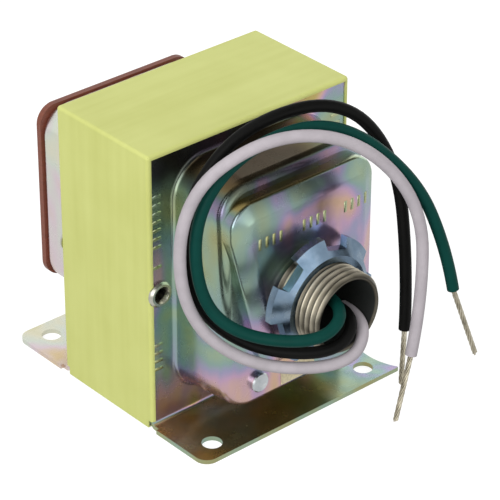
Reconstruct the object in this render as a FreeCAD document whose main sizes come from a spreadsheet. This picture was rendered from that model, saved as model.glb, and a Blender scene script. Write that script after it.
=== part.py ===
import FreeCAD, Part
import math
import os
import Sketcher

# Doorbell transformer, in millimetres. X runs left to right, the conduit nipple points along -Y,
# Z is up, and Z = 0 is the surface that the mounting feet stand on.

doc = FreeCAD.newDocument("DoorbellTransformer")
sheet = doc.addObject("Spreadsheet::Sheet", "Sizes")

SIZES = [
    ("stack_wide", 63.5, "lamination stack, side to side"),
    ("stack_high", 76.2, "lamination stack, bottom to top"),
    ("stack_deep", 31.75, "lamination stack thickness"),
    ("leg", 12.7, "outer leg and window width of a lamination"),
    ("core_low", 0.4, "underside of the stack above the feet's underside"),
    ("wrap_thick", 0.35, "tape wrapped round the stack"),
    ("wrap_lip", 0.8, "tape turned over the cover's edge"),
    ("wrap_round", 0.9, "rounding of the tape's folds"),
    ("steel", 1.2, "cover sheet thickness"),
    ("edge_gap", 0.15, "gap between a cover's edge and the tape"),
    ("bend", 1.0, "inside radius of the foot bend"),
    ("foot_reach", 38.0, "centre plane to the end of a foot"),
    ("foot_over", 0.3, "foot beyond the tape on each side"),
    ("foot_corner", 3.4, "corner radius of a foot"),
    ("scallop_dia", 33.0, "hollow in the front foot's right side"),
    ("scallop_deep", 2.2, "depth of that hollow"),
    ("scallop_inset", 8.6, "end of the foot to the middle of that hollow"),
    ("hole_wide", 50.8, "spacing of the mounting holes along X"),
    ("hole_inset", 5.7, "end of a foot to its mounting holes"),
    ("hole_dia", 5.2, "mounting hole"),
    ("dome_wide", 48.4, "front dome at the flange"),
    ("dome_low", 7.6, "lower edge of the front dome at the flange"),
    ("dome_top", 72.0, "upper edge of the front dome at the flange"),
    ("dome_corner", 9.5, "corner radius of the front dome at the flange"),
    ("dome_slope", 4.0, "draft of the front dome's sides in degrees"),
    ("crown_reach", 35.6, "centre plane to the face, at the height of the feet"),
    ("crown_lean", 2.0, "lean of the face in degrees, its top further back"),
    ("lean_over", 10.0, "how far the cut of the leaning face runs past the dome's top"),
    ("lean_clear", 20.0, "how far that cut runs in front of the dome"),
    ("crown_round", 2.6, "rounding between the dome's face and its sides"),
    ("pad_left", 22.5, "centre to the raised panel's upper left edge"),
    ("pad_right", 22.8, "centre to the raised panel's right edge"),
    ("pad_foot", 12.5, "centre to the raised panel's lower left corner"),
    ("pad_knee", 58.0, "height where the panel's left edge starts to slant"),
    ("pad_low", 19.0, "lower edge of the raised panel"),
    ("pad_top", 67.2, "upper edge of the raised panel"),
    ("pad_corner", 6.4, "corner radius of the raised panel"),
    ("pad_step", 0.6, "panel's upright wall in front of the dome's face, at the height of the feet"),
    ("pad_rise", 2.0, "height of the sloping band round the panel's flat face"),
    ("pad_slope", 65.0, "slope of the band round the flat face in degrees"),
    ("pad_shoulder", 1.0, "rounding between the upright wall and the band"),
    ("pad_crease", 3.0, "rounding between the band and the flat face"),
    ("rear_wide", 48.8, "rear dome at the flange"),
    ("rear_low", 15.5, "lower edge of the rear dome"),
    ("rear_top", 66.5, "upper edge of the rear dome"),
    ("rear_corner", 8.0, "corner radius of the rear dome"),
    ("rear_reach", 34.5, "centre plane to the rear dome's flat face"),
    ("rear_slope", 1.0, "draft of the rear dome in degrees"),
    ("rear_round", 1.4, "rounding of the rear dome's edge"),
    ("board_wide", 49.0, "terminal board width"),
    ("board_low", 17.0, "lower edge of the terminal board"),
    ("board_top", 66.4, "upper edge of the terminal board"),
    ("board_thick", 1.6, "terminal board thickness"),
    ("board_corner", 5.0, "terminal board corner radius"),
    ("terminal_wide", 25.4, "spacing of the terminal screws"),
    ("terminal_high", 34.0, "height of the terminal screws"),
    ("terminal_dia", 4.0, "terminal screw shank"),
    ("terminal_head", 8.4, "terminal screw head"),
    ("terminal_cap", 2.2, "terminal screw head height"),
    ("washer_dia", 10.4, "terminal clamp washer"),
    ("washer_thick", 0.8, "terminal clamp washer thickness"),
    ("nut_flats", 7.9, "terminal nut across flats"),
    ("nut_thick", 2.2, "terminal nut thickness"),
    ("bush_dia", 11.0, "insulating bush round a terminal screw"),
    ("bush_deep", 3.0, "length of the insulating bush"),
    ("rivet_wide", 36.0, "spacing of the board rivets"),
    ("rivet_high", 60.0, "height of the board rivets"),
    ("rivet_dia", 3.2, "solid rivet shank"),
    ("rivet_head", 5.6, "solid rivet head"),
    ("rivet_cap", 1.4, "solid rivet head height"),
    ("eyelet_inset", 2.85, "side of the stack to the axis of a hollow rivet"),
    ("eyelet_high", 38.4, "height of the hollow rivets"),
    ("eyelet_dia", 5.0, "hollow rivet outside"),
    ("eyelet_bore", 3.8, "hollow rivet inside"),
    ("eyelet_head", 6.8, "hollow rivet's rolled head"),
    ("eyelet_cap", 1.1, "height of the rolled head"),
    ("pin_left", 13.0, "dome rivet, to the left of the centre"),
    ("pin_high", 15.3, "height of the dome rivet"),
    ("pin_dia", 5.2, "dome rivet head"),
    ("pin_cap", 1.3, "dome rivet head height"),
    ("nipple_high", 37.5, "height of the nipple's axis"),
    ("nipple_dia", 21.3, "half-inch conduit thread, outside"),
    ("nipple_bore", 18.0, "nipple bore"),
    ("nipple_length", 14.8, "nipple in front of the panel"),
    ("collar_dia", 25.4, "nipple collar inside the cover"),
    ("collar_thick", 1.6, "nipple collar thickness"),
    ("slip", 0.1, "clearance between a shank and its hole, on the radius"),
    ("locknut_gap", 3.3, "panel to the locknut's lugs"),
    ("locknut_ring", 24.6, "flat front ring of the locknut"),
    ("locknut_thick", 2.6, "locknut ring thickness"),
    ("lug_reach", 16.4, "locknut axis to the end of a lug"),
    ("lug_thick", 2.0, "lug thickness at its end"),
    ("lug_drop", 2.2, "how far a lug's end lies behind the ring's front"),
    ("lug_count", 6, "lugs on the locknut"),
    ("lug_turn", 15.0, "turn of the locknut on its thread in degrees"),
    ("gap_root", 13.6, "locknut axis to the bottom of the gaps between lugs"),
    ("gap_inner", 6.4, "width of a gap at its bottom"),
    ("gap_outer", 9.0, "width of a gap at its mouth"),
    ("tongue", 25.4, "middle leg of the laminations"),
    ("tube_wall", 1.2, "bobbin wall"),
    ("core_slack", 0.2, "gap between the bobbin and the laminations"),
    ("coil_deep", 6.4, "depth of wire over the bobbin tube"),
    ("coil_slack", 0.1, "gap between a winding and the bobbin's flanges"),
    ("jacket_thick", 0.4, "insulating jacket round a winding"),
    ("lead_dia", 3.0, "lead over its insulation"),
    ("strand_dia", 1.4, "tinned strands of a lead"),
    ("strand_gap", 0.2, "end of the insulation to the start of the bare strands"),
    ("label_wide", 11.0, "blank label"),
    ("label_high", 5.0, "blank label"),
    ("label_thick", 0.12, "blank label"),
    ("label_right", 0.0, "centre of the label, to the right of the centre"),
    ("label_low", 10.9, "lower edge of the label along the face"),
]
for row, (alias, value, note) in enumerate(SIZES, start=1):
    sheet.set("A%d" % row, note)
    sheet.set("B%d" % row, str(value))
    sheet.setAlias("B%d" % row, alias)
doc.recompute()

NODES = []


def size(alias):
    return float(sheet.get(alias))


def bind(item, prop, formula):
    """Drive a property from the sheet; names in braces are the sheet's aliases."""
    item.setExpression(prop, formula.replace("{", "Sizes.").replace("}", ""))


def new_body(label):
    body = doc.addObject("PartDesign::Body", label)
    body.Label = label
    NODES.append(body)
    return body


def new_sketch(body, name, plane, offset="0", lean=None):
    """A sketch on one of the body's origin planes, moved along that plane's normal."""
    sketch = body.newObject("Sketcher::SketchObject", name)
    support = [item for item in body.Origin.OriginFeatures if item.Role == plane][0]
    sketch.AttachmentSupport = [(support, "")]
    sketch.MapMode = "FlatFace"
    bind(sketch, "AttachmentOffset.Base.z", offset)
    if lean:
        sketch.AttachmentOffset = FreeCAD.Placement(
            FreeCAD.Vector(0, 0, 0), FreeCAD.Rotation(FreeCAD.Vector(1, 0, 0), -1))
        bind(sketch, "AttachmentOffset.Rotation.Angle", lean)
        bind(sketch, "AttachmentOffset.Base.z", offset)
    return sketch


def measure(sketch, name, formula, *spec):
    """A named driving dimension of a sketch."""
    index = sketch.addConstraint(Sketcher.Constraint(*spec))
    sketch.renameConstraint(index, name)
    bind(sketch, "Constraints." + name, formula)


def value_of(formula):
    """The number a formula of sheet aliases gives now, for a sketch's first drawing."""
    probe = doc.addObject("App::FeaturePython", "Probe")
    probe.addProperty("App::PropertyFloat", "Result")
    bind(probe, "Result", formula)
    doc.recompute([probe])
    result = probe.Result
    doc.removeObject(probe.Name)
    return result


def draw_rectangle(sketch, wide, low, high, corner=None, tag=""):
    """A rectangle centred on the vertical axis, with rounded corners if a radius is given."""
    half = value_of(wide) / 2
    z0 = value_of(low)
    z1 = value_of(high)
    radius = value_of(corner) if corner else 0.0
    vec = FreeCAD.Vector
    first = sketch.GeometryCount
    ends = [
        (vec(-half + radius, z0, 0), vec(half - radius, z0, 0)),
        (vec(half, z0 + radius, 0), vec(half, z1 - radius, 0)),
        (vec(half - radius, z1, 0), vec(-half + radius, z1, 0)),
        (vec(-half, z1 - radius, 0), vec(-half, z0 + radius, 0)),
    ]
    for start, stop in ends:
        sketch.addGeometry(Part.LineSegment(start, stop))
    if corner:
        centres = [(half - radius, z0 + radius), (half - radius, z1 - radius),
                   (-half + radius, z1 - radius), (-half + radius, z0 + radius)]
        for turn, (cx, cz) in enumerate(centres):
            circle = Part.Circle(vec(cx, cz, 0), vec(0, 0, 1), radius)
            begin = -math.pi / 2 + turn * math.pi / 2
            sketch.addGeometry(Part.ArcOfCircle(circle, begin, begin + math.pi / 2))
        for turn in range(4):
            arc = first + 4 + turn
            sketch.addConstraint(Sketcher.Constraint("Tangent", first + turn, 2, arc, 1))
            sketch.addConstraint(Sketcher.Constraint("Tangent", arc, 2, first + (turn + 1) % 4, 1))
        for turn in range(1, 4):
            sketch.addConstraint(Sketcher.Constraint("Equal", first + 4, first + 4 + turn))
        measure(sketch, "corner" + tag, corner, "Radius", first + 4, radius)
    else:
        for turn in range(4):
            sketch.addConstraint(
                Sketcher.Constraint("Coincident", first + turn, 2, first + (turn + 1) % 4, 1))
    sketch.addConstraint(Sketcher.Constraint("Vertical", first + 1))
    sketch.addConstraint(Sketcher.Constraint("Vertical", first + 3))
    sketch.addConstraint(Sketcher.Constraint("Horizontal", first + 2))
    sketch.addConstraint(Sketcher.Constraint("Symmetric", first, 1, first, 2, -2))
    measure(sketch, "wide" + tag, wide, "DistanceX", first + 3, 1, first + 1, 1, 2 * half)
    measure(sketch, "low" + tag, low, "DistanceY", -1, 1, first, 1, z0)
    measure(sketch, "high" + tag, high, "DistanceY", -1, 1, first + 2, 1, z1)


def fix_point(sketch, index, spot, x, y, tag):
    """Hold a point of the sketch at two formulas, whichever side of the axes it is on."""
    for name, kind, axis, formula in (("at_x" + tag, "DistanceX", -2, x), ("at_y" + tag, "DistanceY", -1, y)):
        number = value_of(formula)
        if abs(number) < 1e-9:
            sketch.addConstraint(Sketcher.Constraint("PointOnObject", index, spot, axis))
        elif number > 0:
            measure(sketch, name, formula, kind, -1, 1, index, spot, number)
        else:
            measure(sketch, name, "-(" + formula + ")", kind, index, spot, -1, 1, -number)


def draw_outline(sketch, points, corner):
    """A closed outline through points given as pairs of formulas, anticlockwise, with rounded corners."""
    vec = FreeCAD.Vector
    spots = [vec(value_of(x), value_of(y), 0) for x, y in points]
    radius = value_of(corner)
    count = len(spots)
    starts = []
    stops = []
    arcs = []
    for turn, spot in enumerate(spots):
        arrive = (spot - spots[turn - 1]).normalize()
        leave = (spots[(turn + 1) % count] - spot).normalize()
        half = arrive.getAngle(leave) / 2
        stops.append(spot - arrive * (radius * math.tan(half)))
        starts.append(spot + leave * (radius * math.tan(half)))
        middle = spot + (leave - arrive).normalize() * (radius / math.cos(half) - radius)
        arcs.append(Part.Arc(stops[-1], middle, starts[-1]))
    for turn in range(count):
        sketch.addGeometry(Part.LineSegment(starts[turn], stops[(turn + 1) % count]))
    for arc in arcs:
        sketch.addGeometry(arc)
    for turn in range(count):
        arc = count + turn
        sketch.addConstraint(Sketcher.Constraint("Tangent", turn - 1 if turn else count - 1, 2, arc, 1))
        sketch.addConstraint(Sketcher.Constraint("Tangent", arc, 2, turn, 1))
        if turn:
            sketch.addConstraint(Sketcher.Constraint("Equal", count, arc))
    measure(sketch, "corner", corner, "Radius", count, radius)
    for turn, (x, y) in enumerate(points):
        mark = sketch.addGeometry(Part.Point(spots[turn]), True)
        fix_point(sketch, mark, 1, x, y, "_%d" % turn)
        sketch.addConstraint(Sketcher.Constraint("PointOnObject", mark, 1, turn))
        sketch.addConstraint(Sketcher.Constraint("PointOnObject", mark, 1, turn - 1 if turn else count - 1))


def draw_circle(sketch, x, y, diameter, tag=""):
    """A circle; x and y are formulas, and a leading minus puts the centre on that side."""
    cx = value_of(x)
    cy = value_of(y)
    radius = value_of(diameter) / 2
    index = sketch.addGeometry(Part.Circle(FreeCAD.Vector(cx, cy, 0), FreeCAD.Vector(0, 0, 1), radius))
    measure(sketch, "dia" + tag, diameter, "Diameter", index, 2 * radius)
    fix_point(sketch, index, 3, x, y, tag)


def pad(body, name, sketch, length, reverse=False, middle=False, slope=None):
    item = body.newObject("PartDesign::Pad", name)
    item.Profile = sketch
    bind(item, "Length", length)
    item.Reversed = reverse
    if middle:
        item.SideType = "Symmetric"
    if slope:
        bind(item, "TaperAngle", slope)
    sketch.Visibility = False
    return item


def pocket(body, name, sketch, length, reverse=False, slope=None):
    item = body.newObject("PartDesign::Pocket", name)
    item.Profile = sketch
    bind(item, "Length", length)
    item.Reversed = reverse
    if slope:
        bind(item, "TaperAngle", slope)
    sketch.Visibility = False
    return item


def round_edges(body, name, radius, wanted):
    """Fillet the edges of the body's last feature that the test picks."""
    doc.recompute()
    base = body.Tip
    picked = []
    for number, edge in enumerate(base.Shape.Edges, start=1):
        points = edge.discretize(5)
        if all(wanted(point) for point in points):
            picked.append("Edge%d" % number)
    if not picked:
        raise ValueError("no edges to round for " + name)
    item = body.newObject("PartDesign::Fillet", name)
    item.Base = (base, picked)
    bind(item, "Radius", radius)
    return item


PLATE_BACK = "{stack_deep} / 2"
PLATE_FRONT = "{stack_deep} / 2 + {steel}"
PLATE_WIDE = "{stack_wide} - 2 * {edge_gap}"
FOOT_BEGIN = PLATE_FRONT + " + 2.2 * {bend}"
FOOT_HALF = "{stack_wide} / 2 + {wrap_thick} + {foot_over}"
HOLE_REACH = "{foot_reach} - {hole_inset}"
EYELET_SIDE = "({stack_wide} / 2 - {eyelet_inset})"
PAD_EDGE = "({crown_reach} + {pad_step})"
PAD_REACH = "({crown_reach} + {pad_step} + {pad_rise})"
NIPPLE_REACH = "({crown_reach} + {pad_step} + {pad_rise} + {nipple_length})"
PLATE_TOP = "{core_low} + {stack_high} - {edge_gap}"


def near(a, b):
    return abs(a - b) < 0.02


def add_flange(body, tag):
    """The flat plate of a cover and the bend at its lower edge."""
    vec = FreeCAD.Vector
    steel = size("steel")
    bend = size("bend")
    front = -(size("stack_deep") / 2 + steel)
    back = -size("stack_deep") / 2
    top = value_of(PLATE_TOP)
    axis_y = front - bend
    axis_z = steel + bend
    stub = axis_y - 2.0
    sketch = new_sketch(body, tag + "Section", "YZ_Plane")
    lines = [
        (vec(back, axis_z, 0), vec(back, top, 0)),
        (vec(back, top, 0), vec(front, top, 0)),
        (vec(front, top, 0), vec(front, axis_z, 0)),
        (vec(axis_y, steel, 0), vec(stub, steel, 0)),
        (vec(stub, steel, 0), vec(stub, 0, 0)),
        (vec(stub, 0, 0), vec(axis_y, 0, 0)),
    ]
    for start, stop in lines:
        sketch.addGeometry(Part.LineSegment(start, stop))
    for radius in (bend, bend + steel):
        circle = Part.Circle(vec(axis_y, axis_z, 0), vec(0, 0, 1), radius)
        sketch.addGeometry(Part.ArcOfCircle(circle, -math.pi / 2, 0))
    rules = [
        ("Coincident", 0, 2, 1, 1), ("Coincident", 1, 2, 2, 1), ("Coincident", 3, 2, 4, 1),
        ("Coincident", 4, 2, 5, 1), ("Tangent", 2, 2, 6, 2), ("Tangent", 6, 1, 3, 1),
        ("Tangent", 5, 2, 7, 1), ("Tangent", 7, 2, 0, 1), ("Coincident", 6, 3, 7, 3),
        ("Vertical", 0), ("Horizontal", 1), ("Vertical", 4), ("Horizontal", 5),
        ("PointOnObject", 5, 1, -1),
    ]
    for rule in rules:
        sketch.addConstraint(Sketcher.Constraint(*rule))
    measure(sketch, "bend_inside", "{bend}", "Radius", 6, bend)
    measure(sketch, "thickness", "{steel}", "DistanceX", 2, 1, 1, 1, steel)
    measure(sketch, "back_face", PLATE_BACK, "DistanceX", 0, 1, -1, 1, -back)
    measure(sketch, "top_edge", PLATE_TOP, "DistanceY", -1, 1, 0, 2, top)
    measure(sketch, "stub_end", "2 * {bend}", "DistanceX", 4, 1, 3, 1, axis_y - stub)
    pad(body, tag + "Plate", sketch, PLATE_WIDE, middle=True)


def add_foot(body, tag, scalloped=False):
    """The foot in front of the bend, with its two mounting holes and, if asked, a hollow right side."""
    vec = FreeCAD.Vector
    foot = new_sketch(body, tag + "FootOutline", "XY_Plane")
    half = value_of(FOOT_HALF)
    near_y = -value_of(FOOT_BEGIN)
    far_y = -size("foot_reach")
    corners = [vec(-half, near_y, 0), vec(-half, far_y, 0), vec(half, far_y, 0), vec(half, near_y, 0)]
    for turn in range(4):
        foot.addGeometry(Part.LineSegment(corners[turn], corners[(turn + 1) % 4]))
    for turn in range(4):
        foot.addConstraint(Sketcher.Constraint("Coincident", turn, 2, (turn + 1) % 4, 1))
    for rule in (("Vertical", 0), ("Vertical", 2), ("Horizontal", 3), ("Symmetric", 1, 1, 1, 2, -2)):
        foot.addConstraint(Sketcher.Constraint(*rule))
    measure(foot, "wide", "2 * (" + FOOT_HALF + ")", "DistanceX", 1, 1, 1, 2, 2 * half)
    measure(foot, "reach", "{foot_reach}", "DistanceY", 1, 1, -1, 1, -far_y)
    measure(foot, "begin", FOOT_BEGIN, "DistanceY", 0, 1, -1, 1, -near_y)
    draw_circle(foot, "-{hole_wide} / 2", "-(" + HOLE_REACH + ")", "{hole_dia}", "_left")
    draw_circle(foot, "{hole_wide} / 2", "-(" + HOLE_REACH + ")", "{hole_dia}", "_right")
    pad(body, tag + "Foot", foot, "{steel}")
    round_edges(body, tag + "FootCorners", "{foot_corner}",
                lambda p: near(p.y, far_y) and near(p.x if not scalloped and p.x > 0 else -p.x, half))
    if scalloped:
        hollow_side = new_sketch(body, tag + "FootScallop", "XY_Plane")
        draw_circle(hollow_side, FOOT_HALF + " + {scallop_dia} / 2 - {scallop_deep}",
                    "-({foot_reach} - {scallop_inset})", "{scallop_dia}")
        pocket(body, tag + "FootHollow", hollow_side, "{steel}", reverse=True)


# Front cover: drawn steel dome with a raised panel that carries the conduit nipple.
front_cover = new_body("front_cover")
add_flange(front_cover, "Front")


WEDGE_HIGH = "{dome_top} + {lean_over}"


def add_crown(body, name, inset, from_plane):
    """The drawn dome: tapered sides, and a face that leans back towards its top."""
    vec = FreeCAD.Vector
    root = new_sketch(body, name + "Root", "XZ_Plane", from_plane)
    draw_rectangle(root, "{dome_wide} - 2 * " + inset, "{dome_low} + " + inset,
                   "{dome_top} - " + inset, "{dome_corner} - " + inset)
    pad(body, name + "Sides", root, "{crown_reach} + {steel} - (" + from_plane + ")",
        slope="-{dome_slope}")
    lean = math.radians(size("crown_lean"))
    reach = value_of("{crown_reach} - " + inset)
    high = value_of(WEDGE_HIGH)
    clear = size("lean_clear")
    points = [vec(-reach, 0, 0), vec(-reach + high * math.tan(lean), high, 0),
              vec(-reach - clear, high, 0), vec(-reach - clear, 0, 0)]
    wedge = new_sketch(body, name + "Lean", "YZ_Plane")
    for turn in range(4):
        wedge.addGeometry(Part.LineSegment(points[turn], points[(turn + 1) % 4]))
    for turn in range(4):
        wedge.addConstraint(Sketcher.Constraint("Coincident", turn, 2, (turn + 1) % 4, 1))
    for rule in (("Horizontal", 1), ("Vertical", 2), ("PointOnObject", 0, 1, -1), ("PointOnObject", 2, 2, -1)):
        wedge.addConstraint(Sketcher.Constraint(*rule))
    measure(wedge, "reach", "{crown_reach} - " + inset, "DistanceX", 0, 1, -1, 1, reach)
    measure(wedge, "high", WEDGE_HIGH, "DistanceY", -1, 1, 0, 2, high)
    measure(wedge, "run", "(" + WEDGE_HIGH + ") * tan({crown_lean})", "DistanceX", 0, 1, 0, 2,
            high * math.tan(lean))
    measure(wedge, "clear", "{lean_clear}", "DistanceX", 2, 1, 0, 1, clear)
    cut = pocket(body, name + "FaceCut", wedge, "4 * {dome_wide}")
    cut.SideType = "Symmetric"
    round_edges(body, name + "Shoulder", "{crown_round} - " + inset,
                lambda p: near(-p.y, reach - p.z * math.tan(lean)))


add_crown(front_cover, "FrontDome", "0 * {steel}", PLATE_FRONT + " - {steel} / 2")
round_edges(front_cover, "FrontDomeFoot", "{steel}",
            lambda p: near(-p.y, value_of(PLATE_FRONT)) and abs(p.x) < size("dome_wide") / 2 + 0.3
            and size("dome_low") - 0.3 < p.z < size("dome_top") + 0.3)

PANEL_BACK = PAD_REACH + " - {steel}"


def panel_points(inset):
    """Corners of the raised panel, drawn in on every side by a formula."""
    return [
        ("{pad_right} - " + inset, "{pad_low} + " + inset), ("{pad_right} - " + inset, "{pad_top} - " + inset),
        ("-{pad_left} + " + inset, "{pad_top} - " + inset),
        ("-{pad_left} + " + inset, "{pad_knee} - " + inset + " / 2"),
        ("-{pad_foot} + 0.8 * " + inset, "{pad_low} + " + inset),
    ]


panel = new_sketch(front_cover, "PanelOutline", "XZ_Plane", PAD_EDGE + " - 4 * {steel}")
draw_outline(panel, panel_points("0 * {steel}"), "{pad_corner}")
pad(front_cover, "PanelStep", panel, "4 * {steel}")
band = new_sketch(front_cover, "PanelBand", "XZ_Plane", PAD_EDGE)
draw_outline(band, panel_points("0 * {steel}"), "{pad_corner}")
pad(front_cover, "PanelFace", band, "{pad_rise}", slope="-{pad_slope}")
round_edges(front_cover, "PanelCrease", "{pad_crease}", lambda p: near(-p.y, value_of(PAD_REACH)))
round_edges(front_cover, "PanelShoulder", "{pad_shoulder}", lambda p: near(-p.y, value_of(PAD_EDGE)))

dome_hollow = doc.addObject("PartDesign::Body", "DomeHollow")
add_crown(dome_hollow, "Hollow", "{steel}", PLATE_BACK + " - {steel} / 2")
hollow = front_cover.newObject("PartDesign::Boolean", "FrontHollow")
hollow.Type = "Cut"
hollow.setObjects([dome_hollow])
recess = new_sketch(front_cover, "PanelHollow", "XZ_Plane", PAD_EDGE + " - 4 * {steel}")
draw_outline(recess, panel_points("({pad_rise} * tan({pad_slope}) + 2 * {steel})"), "{steel}")
pocket(front_cover, "PanelRecess", recess, "{pad_rise} + 3 * {steel}", reverse=True)
seat = new_sketch(front_cover, "CollarSeat", "XZ_Plane", PAD_EDGE + " - 4 * {steel}")
draw_circle(seat, "0", "{nipple_high}", "{collar_dia} + 4 * {slip}")
pocket(front_cover, "CollarRecess", seat, "{pad_rise} + 3 * {steel}", reverse=True)

holes = new_sketch(front_cover, "FrontHoles", "XZ_Plane", PLATE_BACK + " - {steel}")
draw_circle(holes, "0", "{nipple_high}", "{nipple_dia} + 2 * {slip}", "_nipple")
draw_circle(holes, "-" + EYELET_SIDE, "{eyelet_high}", "{eyelet_dia} + 2 * {slip}", "_left")
draw_circle(holes, EYELET_SIDE, "{eyelet_high}", "{eyelet_dia} + 2 * {slip}", "_right")
draw_circle(holes, "-{pin_left}", "{pin_high}", "{rivet_dia} + 2 * {slip}", "_pin")
pocket(front_cover, "FrontBores", holes, NIPPLE_REACH, reverse=True)
add_foot(front_cover, "Front", scalloped=True)

# Rear cover: the same flange and foot turned round, with a plain dome for the terminal board.
rear_cover = new_body("rear_cover")
add_flange(rear_cover, "Rear")
rear_root = new_sketch(rear_cover, "RearRoot", "XZ_Plane", PLATE_FRONT + " - {steel} / 2")
draw_rectangle(rear_root, "{rear_wide}", "{rear_low}", "{rear_top}", "{rear_corner}")
REAR_DEEP = "{rear_reach} - (" + PLATE_FRONT + ") + {steel} / 2"
pad(rear_cover, "RearDome", rear_root, REAR_DEEP, slope="-{rear_slope}")
round_edges(rear_cover, "RearShoulder", "{rear_round}", lambda p: near(-p.y, size("rear_reach")))
round_edges(rear_cover, "RearFoot", "{steel}",
            lambda p: near(-p.y, value_of(PLATE_FRONT)) and abs(p.x) < size("rear_wide") / 2 + 0.3
            and size("rear_low") - 0.3 < p.z < size("rear_top") + 0.3)
rear_inside = new_sketch(rear_cover, "RearInside", "XZ_Plane", PLATE_BACK + " - {steel} / 2")
draw_rectangle(rear_inside, "{rear_wide} - 2 * {steel}", "{rear_low} + {steel}", "{rear_top} - {steel}",
               "{rear_corner} - {steel}")
pocket(rear_cover, "RearHollow", rear_inside,
       "{rear_reach} - {steel} - (" + PLATE_BACK + ") + {steel} / 2", reverse=True, slope="-{rear_slope}")
rear_holes = new_sketch(rear_cover, "RearHoles", "XZ_Plane", PLATE_BACK + " - {steel}")
for side, sign in (("_left", "-"), ("_right", "")):
    draw_circle(rear_holes, sign + EYELET_SIDE, "{eyelet_high}",
                "{eyelet_dia} + 2 * {slip}", side + "_eyelet")
    draw_circle(rear_holes, sign + "{terminal_wide} / 2", "{terminal_high}",
                "{bush_dia} + 2 * {slip}", side + "_terminal")
    draw_circle(rear_holes, sign + "{rivet_wide} / 2", "{rivet_high}",
                "{rivet_dia} + 2 * {slip}", side + "_rivet")
pocket(rear_cover, "RearBores", rear_holes, "{rear_reach}", reverse=True)
add_foot(rear_cover, "Rear")
rear_cover.Placement = FreeCAD.Placement(FreeCAD.Vector(0, 0, 0),
                                         FreeCAD.Rotation(FreeCAD.Vector(0, 0, 1), 180))

# Tape wrapped round the stack and turned over the edges of both covers.
core_wrap = new_body("core_wrap")
WRAP_DEEP = "{stack_deep} + 2 * {steel} + 2 * {wrap_thick}"
outside = new_sketch(core_wrap, "WrapOutside", "XZ_Plane")
draw_rectangle(outside, "{stack_wide} + 2 * {wrap_thick}", "{core_low} - {wrap_thick}",
               "{core_low} + {stack_high} + {wrap_thick}")
pad(core_wrap, "WrapBlock", outside, WRAP_DEEP, middle=True)
wrap_half = value_of("{stack_wide} / 2 + {wrap_thick}")
wrap_top = value_of("{core_low} + {stack_high} + {wrap_thick}")
wrap_end = value_of(WRAP_DEEP) / 2
round_edges(core_wrap, "WrapFolds", "{wrap_round}",
            lambda p: (near(p.z, wrap_top) and (near(abs(p.x), wrap_half) or near(abs(p.y), wrap_end)))
            or (near(abs(p.x), wrap_half) and near(abs(p.y), wrap_end)))
inside = new_sketch(core_wrap, "WrapInside", "XZ_Plane", "-(" + WRAP_DEEP + ") / 2 + {wrap_thick}")
draw_rectangle(inside, "{stack_wide}", "{core_low}", "{core_low} + {stack_high}")
pocket(core_wrap, "WrapHollow", inside, "{stack_deep} + 2 * {steel}", reverse=True)
mouth = new_sketch(core_wrap, "WrapMouth", "XZ_Plane", "-(" + WRAP_DEEP + ")")
draw_rectangle(mouth, "{stack_wide} - 2 * {wrap_lip}", "{core_low}", "{core_low} + {stack_high} - {wrap_lip}")
pocket(core_wrap, "WrapOpening", mouth, "2 * (" + WRAP_DEEP + ")", reverse=True)
for name, plane_offset, turned in (("Front", PLATE_BACK, True), ("Rear", "-(" + PLATE_BACK + ")", False)):
    notch = new_sketch(core_wrap, "Wrap%sSlot" % name, "XZ_Plane", plane_offset)
    draw_rectangle(notch, "{stack_wide} + 4 * {wrap_thick}", "0", "{steel} + {bend}")
    pocket(core_wrap, "Wrap%sFootSlot" % name, notch, WRAP_DEEP, reverse=turned)

for name, plane_offset, turned in (("Front", "(" + WRAP_DEEP + ") / 2", False),
                                   ("Rear", "-(" + WRAP_DEEP + ") / 2", True)):
    around = new_sketch(core_wrap, "Wrap%sRivets" % name, "XZ_Plane", plane_offset)
    for side, sign in (("_left", "-"), ("_right", "")):
        draw_circle(around, sign + EYELET_SIDE, "{eyelet_high}", "{eyelet_head} + 2 * {slip}", side)
    pocket(core_wrap, "Wrap%sRivetCut" % name, around, "{wrap_thick}", reverse=turned)

# Lamination stack: E sheets from the left, I sheets at the right, notched for the hollow rivets.
MIDDLE = "{core_low} + {stack_high} / 2"


def block(body, name, x0, x1, z0, z1, deep, cut=False):
    """A box centred on Y, between two X formulas and two Z formulas."""
    sketch = new_sketch(body, name + "Outline", "XZ_Plane")
    vec = FreeCAD.Vector
    left, right, low, high = (value_of(item) for item in (x0, x1, z0, z1))
    corners = [vec(left, low, 0), vec(right, low, 0), vec(right, high, 0), vec(left, high, 0)]
    for turn in range(4):
        sketch.addGeometry(Part.LineSegment(corners[turn], corners[(turn + 1) % 4]))
    for turn in range(4):
        sketch.addConstraint(Sketcher.Constraint("Coincident", turn, 2, (turn + 1) % 4, 1))
    for rule in (("Horizontal", 0), ("Vertical", 1), ("Horizontal", 2), ("Vertical", 3)):
        sketch.addConstraint(Sketcher.Constraint(*rule))
    for tag, formula, number, line in (("left", x0, left, 3), ("right", x1, right, 1)):
        if number > 0:
            measure(sketch, tag, formula, "DistanceX", -1, 1, line, 1, number)
        else:
            measure(sketch, tag, "-(" + formula + ")", "DistanceX", line, 1, -1, 1, -number)
    measure(sketch, "low", z0, "DistanceY", -1, 1, 0, 1, low)
    measure(sketch, "high", z1, "DistanceY", -1, 1, 2, 1, high)
    if cut:
        item = pocket(body, name, sketch, deep)
        item.SideType = "Symmetric"
        return item
    return pad(body, name, sketch, deep, middle=True)


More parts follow.
